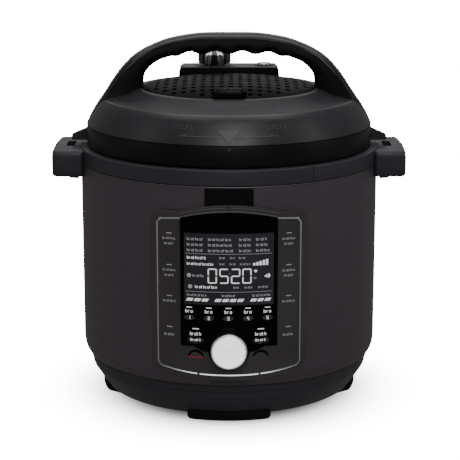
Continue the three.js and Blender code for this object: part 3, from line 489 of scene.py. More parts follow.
def carried(outline, front, back):
    """An XZ outline carried along Y."""
    return swept([[(x, y, z) for x, z in outline] for y in (front, back)])


def rectangle(x0, x1, y0, y1):
    return [(x0, y0), (x1, y0), (x1, y1), (x0, y1)]


def cuboid(low, high):
    return raised(rectangle(low[0], high[0], low[1], high[1]), low[2], high[2])


def joined(*parts):
    """Several points-and-faces pairs as one."""
    points, faces = [], []
    for some_points, some_faces in parts:
        faces += [tuple(i + len(points) for i in face) for face in some_faces]
        points += some_points
    return points, faces


def moved(shape, x=0.0, y=0.0, z=0.0, angle=0.0):
    """Points and faces turned about the pot's axis, then shifted."""
    c, s = math.cos(angle), math.sin(angle)
    return [(px * c - py * s + x, px * s + py * c + y, pz + z) for px, py, pz in shape[0]], shape[1]


def near(x, z, *steps):
    """Points given as steps from one point."""
    return [(x + right, z + up) for right, up in steps]


def front_point(x, z, radius):
    return (x, -math.sqrt(radius ** 2 - x ** 2), z)


def front_sheet(columns, inner, outer):
    """A sheet curved round the body's front: columns are (x, lowest z, highest z)."""
    return swept([[front_point(x, low, outer), front_point(x, high, outer),
                   front_point(x, high, inner), front_point(x, low, inner)] for x, low, high in columns])


def front_ribbon(path, width, inner, outer):
    """A bar with rounded shoulders that follows an XZ path round the body's front."""
    sections = []
    middle = (inner + outer) / 2
    for i, (x, z) in enumerate(path):
        ahead = Vector(path[min(i + 1, len(path) - 1)])
        behind = Vector(path[max(i - 1, 0)])
        along = (ahead - behind).normalized()
        side = Vector((-along.y, along.x)) * width / 2
        ring = [(-1, inner), (-1, middle), (-0.6, outer), (0.6, outer), (1, middle), (1, inner)]
        sections.append([front_point(x + side.x * k, z + side.y * k, radius) for k, radius in ring])
    return swept(sections)


def front_pip(name, body, radius, height, foot, level, look=None):
    """A small domed pip that stands out of the front at a level. Foot is where it starts, from the axis."""
    outline = [(0, height), (radius - 0.4, height - 0.3), (radius, 0), (0, 0)]
    points, faces = revolved(rounded(outline, 0.5, 3), COARSE)
    made(name, ([(x, -foot - z, level + y) for x, y, z in points], faces), body, look=look)


# ---- casing

SHELL_LOW, SHELL_HIGH = limits("outer_shell")
SHELL_RADIUS = SHELL_HIGH.x
SHELL_WALL = 1.2
SHELL_EDGE_INSET = 5.0
SHELL_EDGE_HEIGHT = 13.0
SHELL_EDGE_TOP = SHELL_LOW.z + SHELL_EDGE_HEIGHT
INLET_LOW, INLET_HIGH = limits("mains_inlet")
PANEL_HALF = limits("panel_bezel")[1].x
PANEL_RADIUS = 140.2
BASE_LOW, BASE_HIGH = limits("base_housing")
BASE_TOP_RADIUS, BASE_KNEE_RADIUS, BASE_BOTTOM_RADIUS = 130.9, 129.3, 116.3
BASE_KNEE = 30
BASE_WALL = 2.8
FOOT_INNER_RADIUS, FOOT_SOLE_RADIUS = 95.5, 106.0
FOOT_CORNER = 3.4
RING_LOW, RING_HIGH = limits("top_ring")
RING_RADIUS = RING_HIGH.x
RING_MOUTH_RADIUS, RING_SEAT_RADIUS = 127.6, 133.6
RING_SEAM_ANGLE = -math.radians(58)
PATCHES = (             # name, look, half width, bottom, top
    ("upper_patch", "patch_black", 21, 203, 219.4),
    ("lower_patch", "patch_grey", 16, 43.9, 51.5),
)


def make_shell():
    top = SHELL_HIGH.z

    def edge(wall):
        return [(SHELL_RADIUS - SHELL_EDGE_INSET + (SHELL_EDGE_INSET - wall) * math.cos(turn),
                 SHELL_EDGE_TOP - (SHELL_EDGE_HEIGHT - wall) * math.sin(turn))
                for turn in steps_between(0, TURN / 4, 10)]

    rim = near(SHELL_RADIUS, top, (-0.6, 0), (0.15, -0.1), (0.35, -0.5), (0.3, -1.0), (0, -1.4))
    outline = [*rim, *edge(0), *reversed(edge(SHELL_WALL)), (SHELL_RADIUS - SHELL_WALL, top - 0.6)]
    shell = turned("steel_shell", outline, slot="dark_steel", replaces=["outer_shell"])
    cut_away(shell, cuboid((-57, -SHELL_RADIUS - 5, 62), (57, -100, 190)),
             cuboid((-15.5, 110, INLET_LOW.z + 3.5), (15.5, SHELL_RADIUS + 5, INLET_HIGH.z - 3.5)))


def shell_radius(z):
    """The steel shell's outer radius at a height, its lower rounding included."""
    drop = max(0.0, SHELL_EDGE_TOP - z) / SHELL_EDGE_HEIGHT
    return SHELL_RADIUS - SHELL_EDGE_INSET * (1 - math.sqrt(max(0.0, 1 - drop * drop)))


def make_patches():
    """The dark square above the panel and the paler one below it, as thin films on the steel."""
    for name, look, half, low, high in PATCHES:
        levels = steps_between(low, high, 6)
        sections = []
        for x in steps_between(-half, half, 16):
            outer = [front_point(x, z, shell_radius(z) + 0.22) for z in levels]
            inner = [front_point(x, z, shell_radius(z) - 0.3) for z in reversed(levels)]
            sections.append(outer + inner)
        made(name, swept(sections), slot="gloss_black", look=look, crease=50)
    front_pip("panel_pip", "cooker", 1.7, 1.3, PANEL_RADIUS - 0.1, 204.6)


def make_base():
    bottom, seam = BASE_LOW.z, SHELL_LOW.z - 0.4
    inside = BASE_TOP_RADIUS - BASE_WALL
    outline = rounded([(0, bottom), (BASE_BOTTOM_RADIUS, bottom), (BASE_KNEE_RADIUS, BASE_KNEE),
                       (BASE_KNEE_RADIUS + 0.4, 35.2), (BASE_TOP_RADIUS - 0.2, 35.8), (BASE_TOP_RADIUS, seam),
                       (BASE_TOP_RADIUS - 0.8, seam), (BASE_TOP_RADIUS - 0.8, BASE_HIGH.z),
                       (inside, BASE_HIGH.z), (inside, 34), (BASE_KNEE_RADIUS - BASE_WALL, BASE_KNEE),
                       (BASE_BOTTOM_RADIUS - 2.4, bottom + 3), (0, bottom + 3)], 1.4, 3)
    base = turned("base_tray", outline, replaces=["base_housing"])
    slot = raised(rounded(rectangle(60, 90, -2, 2), 1.9), bottom - 1, bottom + 5)
    cut_away(base, *[moved(slot, angle=(i + 0.5) * TURN / 8) for i in range(8)])


def make_feet():
    low, high = limits("foot_front")
    outer = -low.y
    half_angle = math.asin(high.x / outer)
    ends = [0.9, 0.94, 0.97, 0.99, 1]
    for i, side in enumerate(["front", "right", "rear", "left"]):
        sections = []
        for along in [*[-end for end in reversed(ends)], *steps_between(-0.8, 0.8, 16), *ends]:
            to_end = min(FOOT_CORNER, half_angle * outer * (1 - abs(along)))
            lift = FOOT_CORNER - math.sqrt(FOOT_CORNER ** 2 - (FOOT_CORNER - to_end) ** 2)
            angle = (i - 1) * TURN / 4 + along * half_angle
            ring = rounded([(FOOT_INNER_RADIUS, lift), (FOOT_SOLE_RADIUS, lift),
                            (outer - 2.4, 4.4 + lift * 0.5), (outer, 6.8 + lift * 0.4), (outer, high.z),
                            (outer - 0.4, high.z), (116.9, 9.6), (FOOT_INNER_RADIUS, 9.6)], 1.0, 3)
            sections.append(fan(ring, angle))
        made(f"rubber_foot_{side}", swept(sections), slot="soft_black", replaces=[f"foot_{side}"])


def make_top_ring():
    low, high = RING_LOW.z, RING_HIGH.z
    outline = rounded([*near(RING_RADIUS, low, (-0.3, 0), (0, 1.2)), (RING_RADIUS, high),
                       *near(RING_MOUTH_RADIUS, high, (0, 0), (0, -3)), (RING_SEAT_RADIUS, high - 3),
                       (RING_SEAT_RADIUS, low)], 1.3)
    ring = turned("upper_ring", outline, replaces=["top_ring"])
    seam = cuboid((RING_RADIUS - 0.7, -0.45, low - 1), (RING_RADIUS + 2, 0.45, high + 2))
    cut_away(ring, moved(seam, angle=RING_SEAM_ANGLE))
    pip = carried(rounded([(-1.6, 0), (1.6, 0), (1.1, 1.6), (-1.1, 1.6)], 0.8), -1.5, 1.0)
    made("ring_pip", moved(pip, 72, -115.2, high - 1.2))


def make_side_handles():
    for side, name in ((-1, "left"), (1, "right")):
        low, high = limits(f"side_handle_{name}")
        reach = max(abs(low.x), abs(high.x))
        half = high.y
        edge = [(reach - 2 * along ** 2, half * along) for along in steps_between(-1, 1, 16)]
        plan = rounded([(132, -half), *edge, (132, half)], 4, 3)
        levels = [*near(low.z, 0, (0, 2.4), (0.7, 1.0), (2.2, 0.2), (8, 0)),
                  *near(high.z, 0, (-5.5, 0), (-3.2, 0.3), (-1.3, 1.1), (-0.3, 2.2), (0, 3.6))]
        sections = []
        for z, inset in levels:
            shrink_x, shrink_y = (reach - inset) / reach, (half - inset) / half
            sections.append([(side * x * shrink_x, y * shrink_y, z) for x, y in plan])
        grip = made(f"side_grip_{name}", swept(sections), replaces=[f"side_handle_{name}"], crease=40)
        slot = [(side * x, y) for x, y in rounded(rectangle(142.5, 150, -13, 13), 1.6, 3)]
        body = SHELL_RADIUS + 0.6
        cut_away(grip, raised(slot, high.z - 16, high.z + 2),
                 revolved(rectangle(0, body, low.z - 3, high.z + 3)), crease=40)
        web = [(side * x, y) for x, y in rounded([(137.6, -30), (147, -26), (147, 26), (137.6, 30)], 3)]
        made(f"grip_web_{name}", raised(web, low.z - 3.5, low.z + 1), bevel=0.8)


# ---- front panel

OVERLAY_RADIUS = 141.3
PRINT_RADIUS = 141.38
DIAL_LOW, DIAL_HIGH = limits("dial_knob")
DIAL_Z = (DIAL_LOW.z + DIAL_HIGH.z) / 2
DIAL_RADIUS = DIAL_HIGH.x
TRIM_HALF = 61.7        # middle of the silver line
TRIM_TOP = 193.2
TRIM_FOOT = 54.9
TRIM_WIDTH = 1.7
ARCH_HALF = 41.9
SCREEN_HALF = 38.5
SCREEN_FOOT, SCREEN_TOP = 118.2, 181.2
SIDE_KEY_X = 51.6
SIDE_KEYS = (           # height of the key's bar, then half width, drop and height of each label
    (179.6, (5.6, 5.6, 2.1), (4.0, 10.2, 2.1)),
    (151.5, (5.6, 5.6, 2.1), (4.0, 10.2, 2.1)),
    (123.9, (5.6, 5.6, 2.1)),
    (96.0, (4.6, 8.0, 2.2)),
)
NUMBER_KEY_Z = 106.2
ROUND_KEYS = (-28.8, 27.6)      # the two lower keys on either side of the dial


def panel_foot(x):
    """Height of the silver line along the panel's lower edge."""
    return TRIM_FOOT + 6.2 * abs(x / TRIM_HALF) ** 2.4


def arch(x):
    """Height of the arch over the display."""
    return TRIM_TOP + 0.7 + 5.9 * (1 - (x / ARCH_HALF) ** 2)


def make_bezel():
    half, corner, border = PANEL_HALF, 9, PANEL_HALF - TRIM_HALF
    ends = [side * (half - inset) for side in (-1, 1) for inset in (0.3, 1, 2, 3.6)]
    columns = []
    for x in sorted({*steps_between(-half, half, 54), *ends}):
        to_end = min(corner, half - abs(x))
        lift = corner - math.sqrt(corner ** 2 - (corner - to_end) ** 2)
        rise = max(0.0, arch(x) - TRIM_TOP) if abs(x) < ARCH_HALF + 6 else 0.0
        columns.append((x, panel_foot(x) - border + lift, TRIM_TOP + border + rise - lift))
    made("panel_frame", front_sheet(columns, SHELL_RADIUS + 0.1, PANEL_RADIUS), look="bezel_black",
         replaces=["panel_bezel"], bevel=1.1)


def make_overlay():
    surround = DIAL_RADIUS + 2.6

    def foot(x):
        """Height of the glossy sheet's lower edge, which goes round the dial."""
        if abs(x) < surround - 0.8:
            return DIAL_Z - math.sqrt(surround ** 2 - x ** 2)
        if abs(x) < 30:
            return 76.2 + max(0, abs(x) - 22) * 0.5
        return 80.6

    columns = [(x, foot(x), arch(x)) for x in steps_between(-ARCH_HALF, ARCH_HALF, 84)]
    made("display_overlay", front_sheet(columns, PANEL_RADIUS + 0.1, OVERLAY_RADIUS), slot="gloss_black",
         replaces=["overlay_lens"])
    window = [(x, SCREEN_FOOT, SCREEN_TOP) for x in steps_between(-SCREEN_HALF, SCREEN_HALF, 24)]
    made("display_window", front_sheet(window, OVERLAY_RADIUS - 0.2, OVERLAY_RADIUS + 0.04),
         slot="display_grey", replaces=["display_module"])


def make_trims():
    """The silver line round the panel, which is returned, and the two lines of the arch: the inner grey rim,
    and the outer grey strip, a painted highlight along the bezel's edge.
    """
    foot = [(x, panel_foot(x)) for x in steps_between(-TRIM_HALF + 2.6, TRIM_HALF - 2.6, 60)]
    notch, gap = 26.3, 0.9
    paths = []
    for side in (-1, 1):
        outer = [(x, z) for x, z in foot[::-side] if x * side > notch + gap]
        corner = [(ARCH_HALF, TRIM_TOP + 0.4), (TRIM_HALF - 1.2, TRIM_TOP - 1.2), (TRIM_HALF - 4.2, TRIM_TOP),
                  (TRIM_HALF, TRIM_TOP - 4.2), (TRIM_HALF, panel_foot(TRIM_HALF) + 2.6)]
        paths.append([*[(side * x, z) for x, z in corner], *outer])
    paths.append([(x, z) for x, z in foot if abs(x) < notch])
    loops = [front_ribbon(path, TRIM_WIDTH, PANEL_RADIUS + 0.1, 141.6) for path in paths]
    line = made("panel_silver_line", joined(*loops), slot="silver_trim", replaces=["frame_trim"], crease=50)
    inner = [(x, arch(x) + 0.5) for x in steps_between(-ARCH_HALF, ARCH_HALF, 40)]
    # the outer line is a painted highlight: a grey strip where light catches the bezel's edge over the arch
    outer = [(x, arch(x) + 3.4) for x in steps_between(-ARCH_HALF - 1, ARCH_HALF + 1, 40)]
    lines = joined(front_ribbon(inner, 1.3, PANEL_RADIUS + 0.1, 141.5),
                   front_ribbon(outer, 0.9, 139.4, 140.7))
    made("panel_arch_line_and_edge_highlight", lines, look="grey_line_and_highlight", replaces=["arch_trim"], crease=50)
    return line


class Print:
    """Printed marks on the panel, gathered into one mesh."""

    def __init__(self, radius=PRINT_RADIUS):
        self.parts = []
        self.radius = radius

    def shape(self, *outline):
        """A flat mark from a convex XZ outline."""
        self.parts.append(swept([[front_point(x, z, radius) for x, z in outline]
                                 for radius in (self.radius, self.radius - 0.15)]))

    def bar(self, x0, x1, z0, z1, slant=0.0):
        self.shape((x0, z0), (x1, z0), (x1 + slant, z1), (x0 + slant, z1))

    def disc(self, x, z, rx, rz, start=0.0, sweep=TURN, steps=20):
        turns = steps_between(start, start + sweep, steps)[:-1 if sweep >= TURN else None]
        self.shape(*[(x + rx * math.cos(t), z + rz * math.sin(t)) for t in turns])

    def rule(self, x0, x1, z, height=0.35):
        edges = steps_between(x0, x1, max(1, round((x1 - x0) / 6)))
        for a, b in zip(edges, edges[1:]):
            self.bar(a, b, z, z + height)

    def word(self, x0, x1, z, height, tilt=0.0):
        """A row of plain strokes where a label stands. They spell nothing."""
        stroke, short = height * 0.16, height * 0.72
        count = max(1, round((x1 - x0) / short))
        pitch = (x1 - x0) / count
        wide = pitch * 0.55
        for i in range(count):
            x = x0 + i * pitch
            foot = z + tilt * (x - x0)
            self.bar(x, x + stroke * 1.2, foot, foot + (height if i % 4 in (0, 3) else short))
            if i % 3 != 1:
                self.bar(x + stroke, x + wide, foot, foot + stroke)
            self.bar(x + stroke, x + wide, foot + short - stroke, foot + short)
            if i % 2 == 0:
                self.bar(x + wide, x + wide + stroke * 1.1, foot, foot + height * 0.7)

    def words(self, z, height, *spans):
        """Words on one line, each given as where it starts and how long it is."""
        for x, length in spans:
            self.word(x, x + length, z, height)

    def digit(self, name, x, z, width, height, thick, pointed=True):
        """A digit of seven segments: a to f clockwise from the top, and g in the middle."""
        middle, top = z + height / 2, z + height
        lying = {"a": top - thick, "g": middle - thick / 2, "d": z}
        far = x + width - thick
        standing = {"b": (far, middle), "c": (far, z), "e": (x, z), "f": (x, middle)}
        gap, cut = thick * 0.35, thick * 0.8
        for segment in SEGMENTS[name]:
            left, low = standing.get(segment, (x, lying.get(segment)))
            if segment in lying and pointed:
                right, high = x + width, low + thick
                self.shape((x + gap, low + thick / 2), (x + thick, low), (right - thick, low),
                           (right - gap, low + thick / 2), (right - thick, high), (x + thick, high))
            elif segment in lying:
                self.bar(x, x + width, low, low + thick)
            elif pointed:
                right, high = left + thick, low + height / 2
                self.shape((left + thick / 2, low + gap), (right, low + cut), (right, high - cut),
                           (left + thick / 2, high - gap), (left, high - cut), (left, low + cut))
            else:
                self.bar(left, left + thick, low, low + height / 2)

    def make(self, name, look, slot="display_grey"):
        made(name, joined(*self.parts), slot=slot, look=look, crease=20)


SEGMENTS = {"0": "abcdef", "1": "bc", "2": "abged", "3": "abgcd", "4": "fgbc", "5": "afgcd"}


def print_screen():
    lit, dim = Print(), Print()
    for row, z in enumerate((175.0, 170.1, 165.2)):
        extra = (0, 1.2, 2.2)[row]
        dim.words(z, 2.5, (-36.1, 14.6), (-17.9, 20.0 + extra), (8.5, 11.0), (23.1, 9.6 + extra))
    for z in (163.2, 129.6):
        dim.rule(-37.4, 37.0, z)
    lit.words(158.6, 2.6, (-36.1, 16.5))
    dim.words(159.2, 2.0, (-8.2, 5.2), (1.0, 4.2), (8.4, 6.4))
    lit.words(153.2, 2.4, (-36.1, 23.5))
    dim.words(153.8, 1.9, (-8.2, 5.0), (0.6, 5.6), (9.4, 9.0))
    for i in range(5):
        lit.bar(20.6 + i * 2.75, 22.6 + i * 2.75, 153.2, 155.4 + i * 0.75)
    for name, x in zip("0520", (-18.3, -8.3, 1.7, 11.4)):
        lit.digit(name, x, 137.3, 8.0, 13.4, 1.15)
    for z in (143.0, 146.4):
        dim.disc(0.65, z, 0.45, 0.45, steps=10)
    dim.disc(-34.4, 144.0, 1.9, 1.9)
    dim.words(142.8, 2.4, (-31.4, 10.4))
    lit.shape((21.2, 148.8), (22.9, 146.6), (24.6, 148.8), (22.9, 149.4))
    dim.words(141.2, 2.2, (21.4, 3.0))
    lit.shape((30.2, 143.2), (33.0, 145.4), (33.0, 142.0))
    lit.disc(33.6, 143.7, 1.9, 1.9, -TURN / 4, TURN / 2, 10)
    dim.disc(-33.4, 134.1, 1.9, 1.9)
    lit.words(132.9, 2.5, (-29.2, 19.2))
    dim.words(133.0, 2.0, (3.8, 5.2), (13.4, 6.8), (25.0, 9.0))
    dim.words(125.6, 2.2, (-36.2, 17.0), (-6.1, 12.2), (20.0, 16.4))
    for start, end, count in ((-37.2, -17.2, 3), (-12.6, 13.2, 4), (18.0, 36.4, 3)):
        pitch = (end - start) / count
        for i in range(count):
            lit.bar(start + i * pitch, start + (i + 0.78) * pitch, 121.2, 123.8, slant=1.5)
    lit.make("display_segments_bright", "display_lit")
    dim.make("display_segments_dim", "display_dim")


def print_keys():
    marks, dimple_shades, side = Print(), Print(PRINT_RADIUS - 0.05), Print(PANEL_RADIUS + 0.1)
    for z, *labels in SIDE_KEYS:
        for sign in (-1, 1):
            x = sign * SIDE_KEY_X
            side.bar(x - 2.3, x + 2.3, z - 0.4, z + 0.4)
            for half, drop, height in labels:
                side.word(x - half, x + half, z - drop, height, -0.03 * sign)
    for i in range(5):
        x = -34.3 + i * 16.9
        marks.bar(x - 2.4, x + 2.4, 115.0, 115.8)
        marks.word(x - 3.4, x + 3.6, 110.6, 2.9)
        # painted shade: a flat grey ellipse where a finger dimple's shading shows; the dimple itself is not
        # shaped
        dimple_shades.disc(x, NUMBER_KEY_Z, 4.4, 2.3)
        number = Print(PRINT_RADIUS + 0.05)
        number.digit(str(i + 1), x - 0.9, NUMBER_KEY_Z - 1.5, 1.8, 3.0, 0.5, pointed=False)
        number.make(f"favourite_number_{i + 1}", "display_lit")
    for x in ROUND_KEYS:
        marks.bar(x - 2.8, x + 2.8, 95.9, 96.8)
        marks.word(x - 5.0, x + 5.0, 90.4, 2.9)
        dimple_shades.disc(x, 86.2, 7.0, 3.2)
        marks.word(x - 4.6, x + 4.6, 85.2, 2.5)
    marks.make("key_marks", "display_lit")
    side.make("side_key_marks", "key_print")
    dimple_shades.make("key_dimple_shades", "dimple_shade_grey")
    # painted shade: dark upper halves where the stop and start dimples lie in shade; the dimples themselves
    # are not shaped
    dimple_half_shades = Print(PANEL_RADIUS + 0.08)
    for x in ROUND_KEYS:
        dimple_half_shades.disc(x, 70.9, 7.0, 6.2, 0.0, TURN / 2, 16)
    dimple_half_shades.make("stop_start_dimple_shades", "gloss_black", "gloss_black")
    for x, look, name in zip(ROUND_KEYS, ("red_print", "green_print"), ("stop_mark", "start_mark")):
        strip = Print(PANEL_RADIUS + 0.1)
        strip.word(x - 6.2, x + 6.2, 69.2, 2.0)
        strip.rule(x - 6.0, x + 6.0, 70.9, 0.4)
        strip.make(name, look)


def make_dial():
    depth = DIAL_HIGH.y - DIAL_LOW.y
    outline = rounded([(0, 0.5), (DIAL_RADIUS - 1.6, 0.5), (DIAL_RADIUS - 1.2, 0), (DIAL_RADIUS, 0.9),
                       (DIAL_RADIUS, depth), (3.2, depth), (3.2, 3), (0, 3)], 0.5, 3)
    points, faces = revolved(outline, 96)
    points = [(x, DIAL_LOW.y + z, DIAL_Z - y) for x, y, z in points]
    dial = made("dial", (points, faces), "dial", "aluminium", look="dial_face", replaces=["dial_knob"])
    ring = rounded([(DIAL_RADIUS + 0.5, 0), (DIAL_RADIUS + 2.4, 0), (DIAL_RADIUS + 2.4, 0.6),
                    (DIAL_RADIUS + 0.5, 0.9)], 0.3, 2)
    sections = []
    for turn in steps_between(0, TURN, 72)[:-1]:
        sections.append([front_point(r * math.cos(turn), DIAL_Z + r * math.sin(turn),
                                     OVERLAY_RADIUS - 0.2 + lift) for r, lift in ring])
    made("dial_surround", swept(sections, closed=True), slot="gloss_black")
    return dial


# ---- lid

LID_BOTTOM = limits("lid_cover")[0].z
LID_RADIUS = 131.0
LID_WALL = 2.8
LID_BAND_TOP = 255.0
SHOULDER_RADIUS, SHOULDER_Z = 118.4, 277.0
CREST_RADIUS, CREST_Z = 114.5, 279.4
WELL_RADIUS, WELL_FLOOR, WELL_EDGE_Z = 80.3, 283.5, 287.6
DIFFUSER_LOW, DIFFUSER_HIGH = limits("diffuser_cover")
DIFFUSER_RADIUS = DIFFUSER_HIGH.x
DIFFUSER_CROWN = 7.2
DIFFUSER_WALL = 2.0
HOLE_PITCH = (8.45, 12.4)
HOLE_HALF = (2.0, 3.0)
TAB_HALF = 15.4         # half width of the gap in the diffuser for the tab
VALVE_LOW, VALVE_HIGH = limits("valve_block")
VALVE_X, VALVE_Y = -14, 76
VALVE_AT = (VALVE_X, VALVE_Y)
FLOAT_X = 33.8
FLOAT_AT = (FLOAT_X, VALVE_Y)


def lid_slope(t):
    """Radius and height on the lid's slope, from its foot at 0 to the shoulder at 1."""
    bulge = 0.7 * math.sin(math.pi * min(max(t, 0), 1))
    return (LID_RADIUS + (SHOULDER_RADIUS - LID_RADIUS) * t + bulge,
            LID_BAND_TOP + 0.5 + (SHOULDER_Z - LID_BAND_TOP) * t)


def make_lid():
    slope = [lid_slope(t) for t in steps_between(0, 0.88, 8)]
    shoulder = spline([slope[-1], (SHOULDER_RADIUS - 0.5, SHOULDER_Z + 0.2),
                       *near(CREST_RADIUS, CREST_Z, (1.2, -0.5), (-2.5, 0.2))], 4)
    crest = [*near(CREST_RADIUS, CREST_Z, (-8, 1.4), (-20, 4.2)), (88, 286.6),
             *near(WELL_RADIUS, WELL_EDGE_Z, (1.2, 0), (0, -0.5))]
    band = [*near(LID_RADIUS, LID_BOTTOM, (-0.8, 0), (-0.1, 0.8), (0, 3)),
            *near(LID_RADIUS, LID_BAND_TOP, (0, -1.0), (-0.25, -0.4), (-0.7, -0.1), (-0.7, 0.3))]
    inside = [(WELL_RADIUS, WELL_FLOOR), (0, WELL_FLOOR), (0, WELL_FLOOR - 2.5), (79, WELL_FLOOR - 2.5),
              (113, CREST_Z - 2.8), (115, SHOULDER_Z - 2), (LID_RADIUS - LID_WALL, LID_BAND_TOP - 1),
              (LID_RADIUS - LID_WALL, LID_BOTTOM)]
    lid = turned("lid_shell", [*band, *slope, *shoulder[1:], *crest, *inside], "lid", look="lid_black",
                 replaces=["lid_cover"])
    lid.data.materials.append(MATERIALS["band_black"])
    for face in lid.data.polygons:
        middle = face.center / MM
        if middle.z < LID_BAND_TOP + 0.2 and middle.xy.length > LID_RADIUS - 2:
            face.material_index = 1
    fins = []
    for side in (-1, 1):
        outline = [(side * x, z) for x, z in ((129.5, 238), (145.5, 238), (145.5, 243), (129.5, 250))]
        fins.append(carried(rounded(outline, 1.2, 3), -4, 4))
    made("lid_fins", joined(*fins), "lid", look="lid_black", bevel=0.6)


def make_lid_marks():
    """The closing mark: a triangle on a line with two barbs, plain strokes at its ends, and a pip below. Its
    grey, lighter than the lid, is a painted highlight for light caught on its raised edges.
    """
    pieces = []

    def emboss(outline, proud=0.45):
        radii = [lid_slope((z - LID_BAND_TOP - 0.5) / (SHOULDER_Z - LID_BAND_TOP))[0] for _, z in outline]
        pieces.append(swept([[front_point(x, z, radius + height) for (x, z), radius in zip(outline, radii)]
                             for height in (proud, -0.3)]))

    emboss([(-8.6, 267.2), (8.6, 267.2), (0.0, 256.6)], 0.8)
    line_z, thick, reach = 261.8, 0.9, 43
    for side in (-1, 1):
        edges = steps_between(6.4, reach, 9)
        for a, b in zip(edges, edges[1:]):
            emboss(rectangle(side * a, side * b, line_z, line_z + thick))
    for side in (-1, 1):
        barb = [(reach, 0), (36, 2.4), (35, 1.6), (40, 0)]
        emboss([(side * x, line_z + rise) for x, rise in barb])
        for i in range(5):
            x, z = side * 40 + (i - 2) * 3.6, 267.4
            crossing = z + (i % 2) * 3.1
            emboss(rectangle(x, x + 0.7, z, z + 3.8), 0.25)
            emboss(rectangle(x + 0.7, x + 2.3, crossing, crossing + 0.7), 0.25)
    made("lid_closing_mark", joined(*pieces), "lid", look="mark_highlight_grey", crease=20)
    front_pip("lid_pip", "lid", 1.9, 1.1, LID_RADIUS - 0.15, 251.6, look="lid_black")


def diffuser_height(radius):
    return DIFFUSER_HIGH.z - DIFFUSER_CROWN * (radius / DIFFUSER_RADIUS) ** 3


def make_diffuser():
    radii = [0, 15, 30, 42, 52, 60, 66, 71, 75, 78]
    bottom, top = DIFFUSER_LOW.z, DIFFUSER_HIGH.z
    outline = [*[(r, diffuser_height(r)) for r in radii],
               (DIFFUSER_RADIUS - 0.6, diffuser_height(79.4) - 0.1),
               (DIFFUSER_RADIUS, diffuser_height(80) - 0.9),
               (DIFFUSER_RADIUS, bottom), (DIFFUSER_RADIUS - DIFFUSER_WALL, bottom),
               *[(r, diffuser_height(r) - DIFFUSER_WALL) for r in reversed(radii[:-1])]]
    dome = turned("diffuser", outline, "lid", steps=120, look="diffuser_black", replaces=["diffuser_cover"])
    half_x, half_y = HOLE_HALF
    holes = []
    for row in range(11):
        for column in range(-9, 9):
            x, y = column * HOLE_PITCH[0] + 1.9, row * HOLE_PITCH[1] - 67
            near_tab = abs(x) < 17 and y < -55
            near_valves = abs(x) < 55 and y > 52
            if math.hypot(x, y) > DIFFUSER_RADIUS - 6 or near_tab or near_valves:
                continue
            hole = rounded(rectangle(x - half_x, x + half_x, y - half_y, y + half_y), 0.8, 1)
            holes.append(raised(hole, bottom + 0.5, top + 2))
    block = rectangle(VALVE_LOW.x - 0.3, VALVE_HIGH.x + 0.3, VALVE_LOW.y - 0.3, 95)
    tab = rounded(rectangle(-TAB_HALF, TAB_HALF, -90, -60), 2)
    clear = [raised(outline, bottom - 5, top + 5) for outline in (block, tab)]
    cut_away(dome, joined(*holes), joined(*clear))


HANDLE_HIGH = limits("lid_handle")[1]
HANDLE_DEPTH = 13.5             # half of the handle's depth where it is held
SCALLOP_PITCH = 24
SCALLOP_DEPTH = 1.6
ARM_KEYS = (            # inner x and z, outer x and z, from the middle of the handle to its foot
    (0, 319.2, 0, 337.2),
    (24, 319.0, 27, 336.7),
    (46, 317.6, 52, 332.8),
    (58.7, 314.2, 68, 327.3),
    (66, 311.2, 80, 321.3),
    (72.6, 306.1, 90.4, 313.6),
    (77.2, 300, 100.6, 302.7),
    (78.8, 293, 108.4, 292.0),
    (79.6, 286, 113.8, 283.6),
    (84, 280, 118.0, 277.4),
    (92, 268, 122.6, 269.8),
    (98, 262, 124.6, 266.0),
)


def half_depth(x):
    """Half of the handle's depth: narrow where it is held, flared where it meets the lid."""
    t = min(max((abs(x) - 66) / 46, 0), 1)
    return HANDLE_DEPTH + (HANDLE_HIGH.y - HANDLE_DEPTH) * t * t * (3 - 2 * t)


def handle_section(inner, outer):
    """One section of the handle, across the line from its inner to its outer edge."""
    inner, outer = Vector(inner), Vector(outer)
    thick = (outer - inner).length
    down = (inner - outer).normalized()
    profile = [(0.15, 8.6), (0.8, 5.2), (2.0, 2.5), (3.4, 1.0), (4.4, 0.5), (4.7, 1.3), (5.3, 1.3),
               (5.6, 0.2), (thick * 0.5, 0),
               *near(thick, 0, (-5.5, 0.3), (-3.2, 1.2), (-1.4, 2.9), (-0.4, 5.0), (0, 7.6))]
    front, back = [(outer.x, 0, outer.y)], []
    for depth, inset in profile:
        x, z = outer + down * depth
        width = half_depth(x) - inset
        front.append((x, -width, z))
        back.append((x, width, z))
    x, z = outer + down * thick
    return [*front, (x, 0, z), *reversed(back)]


def make_handle():
    right = []
    for inner_x, inner_z, outer_x, outer_z in spline(ARM_KEYS, 7):
        fade = min(max((57 - inner_x) / 9, 0), 1)
        scallop = SCALLOP_DEPTH * math.cos(TURN * inner_x / SCALLOP_PITCH) * fade
        right.append(((inner_x, inner_z - scallop), (outer_x, outer_z)))
    left = [((-inner[0], inner[1]), (-outer[0], outer[1])) for inner, outer in reversed(right[1:])]
    sections = [handle_section(inner, outer) for inner, outer in left + right]
    made("handle_arch", swept(sections), "lid", look="handle_black", replaces=["lid_handle"], crease=44)


